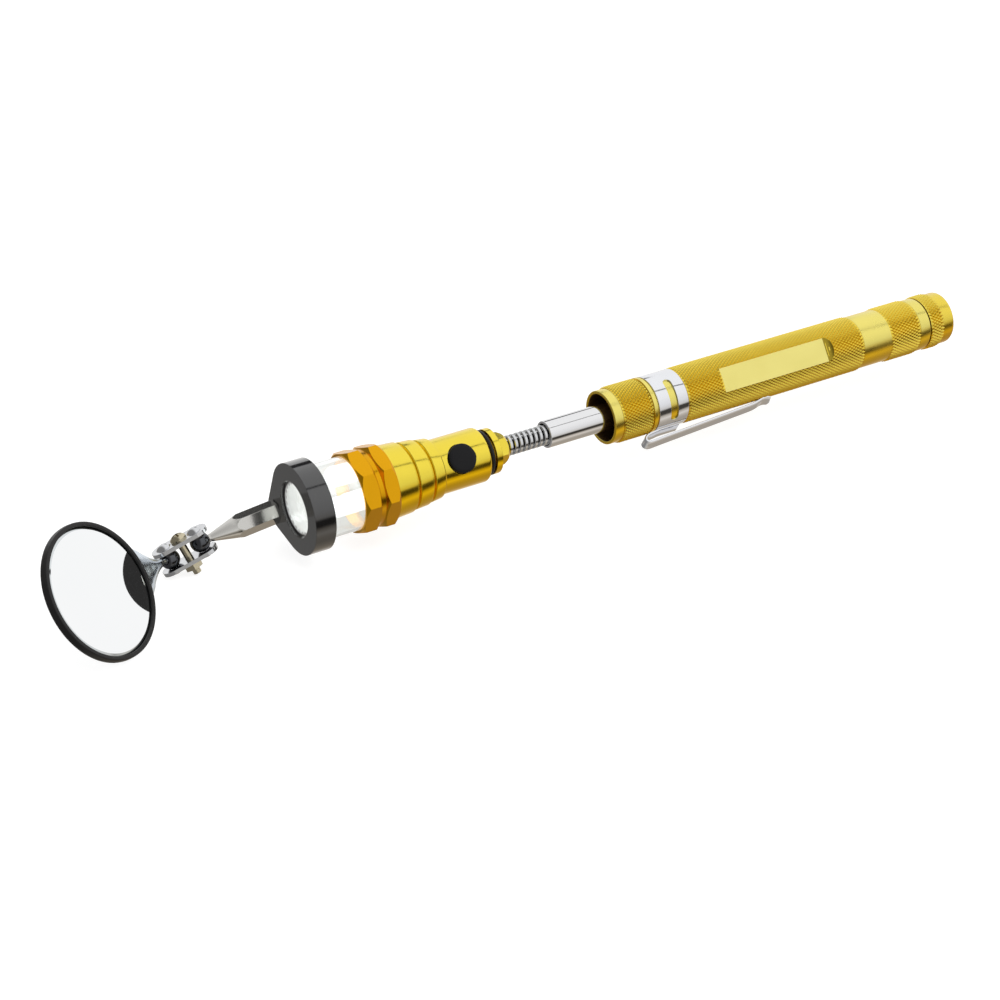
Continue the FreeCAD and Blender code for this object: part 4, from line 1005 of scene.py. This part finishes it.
def build_all():
    gold = turned_gold()
    orange = orange_gold()
    bright = chrome()
    steel = spring_steel()
    dull_brass = brass()
    screw = pale_brass()
    seal = seal_rubber()
    black = gloss_black()
    clear = clear_plastic()
    build_cap(cap_gold())
    build_handle(gold, knurled_gold(), label_gold(), shaded_bore_brown())
    build_clip(clip_chrome())
    build_front_tube(bright)
    build_spring(steel)
    build_core(dark_core())
    torch = torch_gold()
    build_torch_body(torch)
    build_button(button_rubber())
    build_lens(clear, bright)
    build_screw_thread(screw)
    build_rim(rim_rubber())
    build_glass(mirror_silver(), mirror_bevel())
    build_back(tang_chrome())
    dress(["tube_2", "tube_3", "tube_4", "tube_5", "tube_6"], bright)
    dress([f"friction_sleeve_{place}" for place in range(2, 7)], dull_brass)
    dress(["rod_anchor"], dull_brass)
    dress(["anchor_screw", "neck_ferrule", "contact_spring", "battery_cells"], steel)
    dress(["tail_plug"], torch)
    dress(["tail_o_ring", "collar_grip_ring"], seal)
    dress(["switch_plunger", "switch_block", "collar"], black)
    dress(["battery_sleeve"], insulator())
    dress(["led_board"], board_white())
    dress(["leds"], lamp_glow("lamp_glow", 0.8))
    dress(["bezel"], orange)
    dress(["hex_arm"], arm_chrome())
    dress(["arm_ball", "mirror_ball"], dark_steel())
    dress(["clamp_plate_upper", "clamp_plate_lower"], zinc())
    dress(["clamp_screw", "clamp_nut"], screw)


# ---------------------------------------------------------------- studio

CAMERA_AZIMUTH = -31.35
CAMERA_ELEVATION = 30.60
CAMERA_PLACE = Vector((-423.29, -463.77, 306.09))
FLOOR_GLOW = 0.80


def build_floor():
    """A plain pale floor under the lowest point of the tool."""
    half = 1.6
    height = low_corner.z - 0.0002
    centre = (low_corner + high_corner) / 2
    corners = [(centre.x + x * half, centre.y + y * half, height)
               for x, y in ((-1, -1), (1, -1), (1, 1), (-1, 1))]
    floor = piece("floor", [Vector(corner) / MM for corner in corners], [(0, 1, 2, 3)],
                  floor_paper())
    floor.visible_glossy = False


def floor_paper():
    """Pale paper, lit through so that shadows stay faint."""
    material = surface("floor_paper", (0.36, 0.36, 0.36), 0.0, 0.8, shade=0.99, patch=8.0)
    nodes = material.node_tree.nodes
    link = material.node_tree.links.new
    shader = nodes["Principled BSDF"]
    seen = nodes.new("ShaderNodeLightPath")
    glow = nodes.new("ShaderNodeMath")
    glow.operation = "MULTIPLY"
    glow.inputs[1].default_value = FLOOR_GLOW
    link(seen.outputs["Is Camera Ray"], glow.inputs[0])
    link(glow.outputs["Value"], shader.inputs["Emission Strength"])
    shader.inputs["Emission Color"].default_value = (1, 1, 1, 1)
    return material


# Light that the polished cylinders see, by roll about the tool's axis: (degrees, level, warmth).
# There is a thin black flag overhead, and a black flag below the front edge of the table.
STRIPS = [
    (-180, 1.00, 0.0), (-120, 1.05, 0.0), (-74, 1.05, 0.0), (-73, 0.05, 0.0), (-70.5, 0.05, 0.0),
    (-69.5, 1.06, 0.0), (-40, 1.02, 0.0), (-10, 0.88, 0.0), (6, 0.70, 0.1), (12, 0.05, 0.3),
    (27, 0.06, 0.3), (34, 0.50, 0.3), (46, 0.80, 0.2), (58, 0.55, 0.3), (72, 0.42, 0.3),
    (105, 0.45, 0.4), (140, 0.85, 0.1), (180, 1.00, 0.0),
]
STRIP_REACH = 0.448
CARD_TOWARDS = (0.35, 0.825, 0.445)    # a black card that the arm's top facet reflects


def build_world():
    """A white studio whose light is strips along the tool where the cylinders reflect it."""
    world = bpy.data.worlds.new("studio")
    bpy.context.scene.world = world
    world.use_nodes = True
    nodes = world.node_tree.nodes
    link = world.node_tree.links.new
    nodes.clear()
    where = nodes.new("ShaderNodeTexCoord")
    turned_back = nodes.new("ShaderNodeVectorMath")
    turned_back.operation = "SCALE"
    turned_back.inputs["Scale"].default_value = -1
    link(where.outputs["Generated"], turned_back.inputs[0])
    split = nodes.new("ShaderNodeSeparateXYZ")
    link(turned_back.outputs["Vector"], split.inputs["Vector"])
    roll = nodes.new("ShaderNodeMath")
    roll.operation = "ARCTAN2"
    link(split.outputs["Z"], roll.inputs[0])
    link(split.outputs["Y"], roll.inputs[1])
    spread = nodes.new("ShaderNodeMapRange")
    spread.inputs["From Min"].default_value = -math.pi
    spread.inputs["From Max"].default_value = math.pi
    link(roll.outputs["Value"], spread.inputs["Value"])
    strips = nodes.new("ShaderNodeValToRGB")
    link(spread.outputs["Result"], strips.inputs["Fac"])
    ramp = strips.color_ramp
    ramp.elements[0].position = 0
    ramp.elements[1].position = 1
    for degrees, _, _ in STRIPS[1:-1]:
        ramp.elements.new(degrees / 360 + 0.5)
    for element, (_, level, warmth) in zip(ramp.elements, STRIPS):
        element.color = (level, level * (1 - 0.35 * warmth), level * (1 - 0.8 * warmth), 1)

    off_strip = nodes.new("ShaderNodeMath")
    off_strip.operation = "ADD"
    off_strip.inputs[1].default_value = STRIP_REACH
    link(split.outputs["X"], off_strip.inputs[0])
    distance = nodes.new("ShaderNodeMath")
    distance.operation = "ABSOLUTE"
    link(off_strip.outputs["Value"], distance.inputs[0])
    mask = nodes.new("ShaderNodeMapRange")
    mask.inputs["From Min"].default_value = 0.42
    mask.inputs["From Max"].default_value = 0.50
    link(distance.outputs["Value"], mask.inputs["Value"])
    below = nodes.new("ShaderNodeMapRange")
    below.inputs["From Min"].default_value = -0.02
    below.inputs["From Max"].default_value = 0.20
    link(split.outputs["Z"], below.inputs["Value"])
    walls = nodes.new("ShaderNodeMix")
    walls.data_type = "RGBA"
    walls.inputs["A"].default_value = (1.0, 1.0, 1.0, 1)
    walls.inputs["B"].default_value = (0.62, 0.59, 0.54, 1)
    link(below.outputs["Result"], walls.inputs["Factor"])
    ahead = nodes.new("ShaderNodeMapRange")
    ahead.inputs["From Min"].default_value = 0.05
    ahead.inputs["From Max"].default_value = 0.35
    link(split.outputs["X"], ahead.inputs["Value"])
    dim_end = nodes.new("ShaderNodeMix")
    dim_end.data_type = "RGBA"
    dim_end.inputs["B"].default_value = (0.26, 0.255, 0.25, 1)
    link(ahead.outputs["Result"], dim_end.inputs["Factor"])
    link(walls.outputs["Result"], dim_end.inputs["A"])
    room = nodes.new("ShaderNodeMix")
    room.data_type = "RGBA"
    link(dim_end.outputs["Result"], room.inputs["B"])
    link(mask.outputs["Result"], room.inputs["Factor"])
    link(strips.outputs["Color"], room.inputs["A"])
    facing_card = nodes.new("ShaderNodeVectorMath")
    facing_card.operation = "DOT_PRODUCT"
    facing_card.inputs[1].default_value = CARD_TOWARDS
    link(turned_back.outputs["Vector"], facing_card.inputs[0])
    card = nodes.new("ShaderNodeMapRange")
    card.inputs["From Min"].default_value = -0.990
    card.inputs["From Max"].default_value = -0.994
    link(facing_card.outputs["Value"], card.inputs["Value"])
    carded = nodes.new("ShaderNodeMix")
    carded.data_type = "RGBA"
    carded.inputs["B"].default_value = (0.05, 0.05, 0.05, 1)
    link(card.outputs["Result"], carded.inputs["Factor"])
    link(room.outputs["Result"], carded.inputs["A"])
    seen = nodes.new("ShaderNodeLightPath")
    choice = nodes.new("ShaderNodeMix")
    choice.data_type = "RGBA"
    choice.inputs["B"].default_value = (1, 1, 1, 1)
    link(seen.outputs["Is Camera Ray"], choice.inputs["Factor"])
    link(carded.outputs["Result"], choice.inputs["A"])
    shade = nodes.new("ShaderNodeBackground")
    link(choice.outputs["Result"], shade.inputs["Color"])
    output = nodes.new("ShaderNodeOutputWorld")
    link(shade.outputs["Background"], output.inputs["Surface"])


def add_light(name, place, target, size, power):
    """A square softbox aimed at a point."""
    lamp = bpy.data.lights.new(name, "AREA")
    lamp.shape = "SQUARE"
    lamp.size = size
    lamp.energy = power
    thing = bpy.data.objects.new(name, lamp)
    thing.visible_glossy = False
    thing.location = place
    thing.rotation_mode = "QUATERNION"
    thing.rotation_quaternion = (Vector(target) - Vector(place)).to_track_quat("-Z", "Y")
    bpy.context.scene.collection.objects.link(thing)


def build_studio():
    build_floor()
    build_world()
    middle = (low_corner + high_corner) / 2
    add_light("key_softbox", middle + Vector((0.10, -0.45, 0.75)), middle, 0.45, 3.0)
    add_light("fill_softbox", middle + Vector((-0.75, 0.25, 0.50)), middle, 0.60, 2.0)
    bpy.context.scene.view_settings.view_transform = "Standard"


def build_camera():
    """A camera at the place and angle of the reference view."""
    azimuth = math.radians(CAMERA_AZIMUTH)
    elevation = math.radians(CAMERA_ELEVATION)
    back = Vector((math.sin(azimuth) * math.cos(elevation),
                   -math.cos(azimuth) * math.cos(elevation), math.sin(elevation)))
    camera = bpy.data.objects.new("camera", bpy.data.cameras.new("camera"))
    camera.data.lens = 90
    camera.data.sensor_width = 36
    camera.data.clip_start = 0.01
    camera.location = CAMERA_PLACE * MM
    camera.rotation_mode = "QUATERNION"
    camera.rotation_quaternion = (-back).to_track_quat("-Z", "Y")
    bpy.context.scene.collection.objects.link(camera)
    bpy.context.scene.camera = camera


build_all()
build_studio()
build_camera()
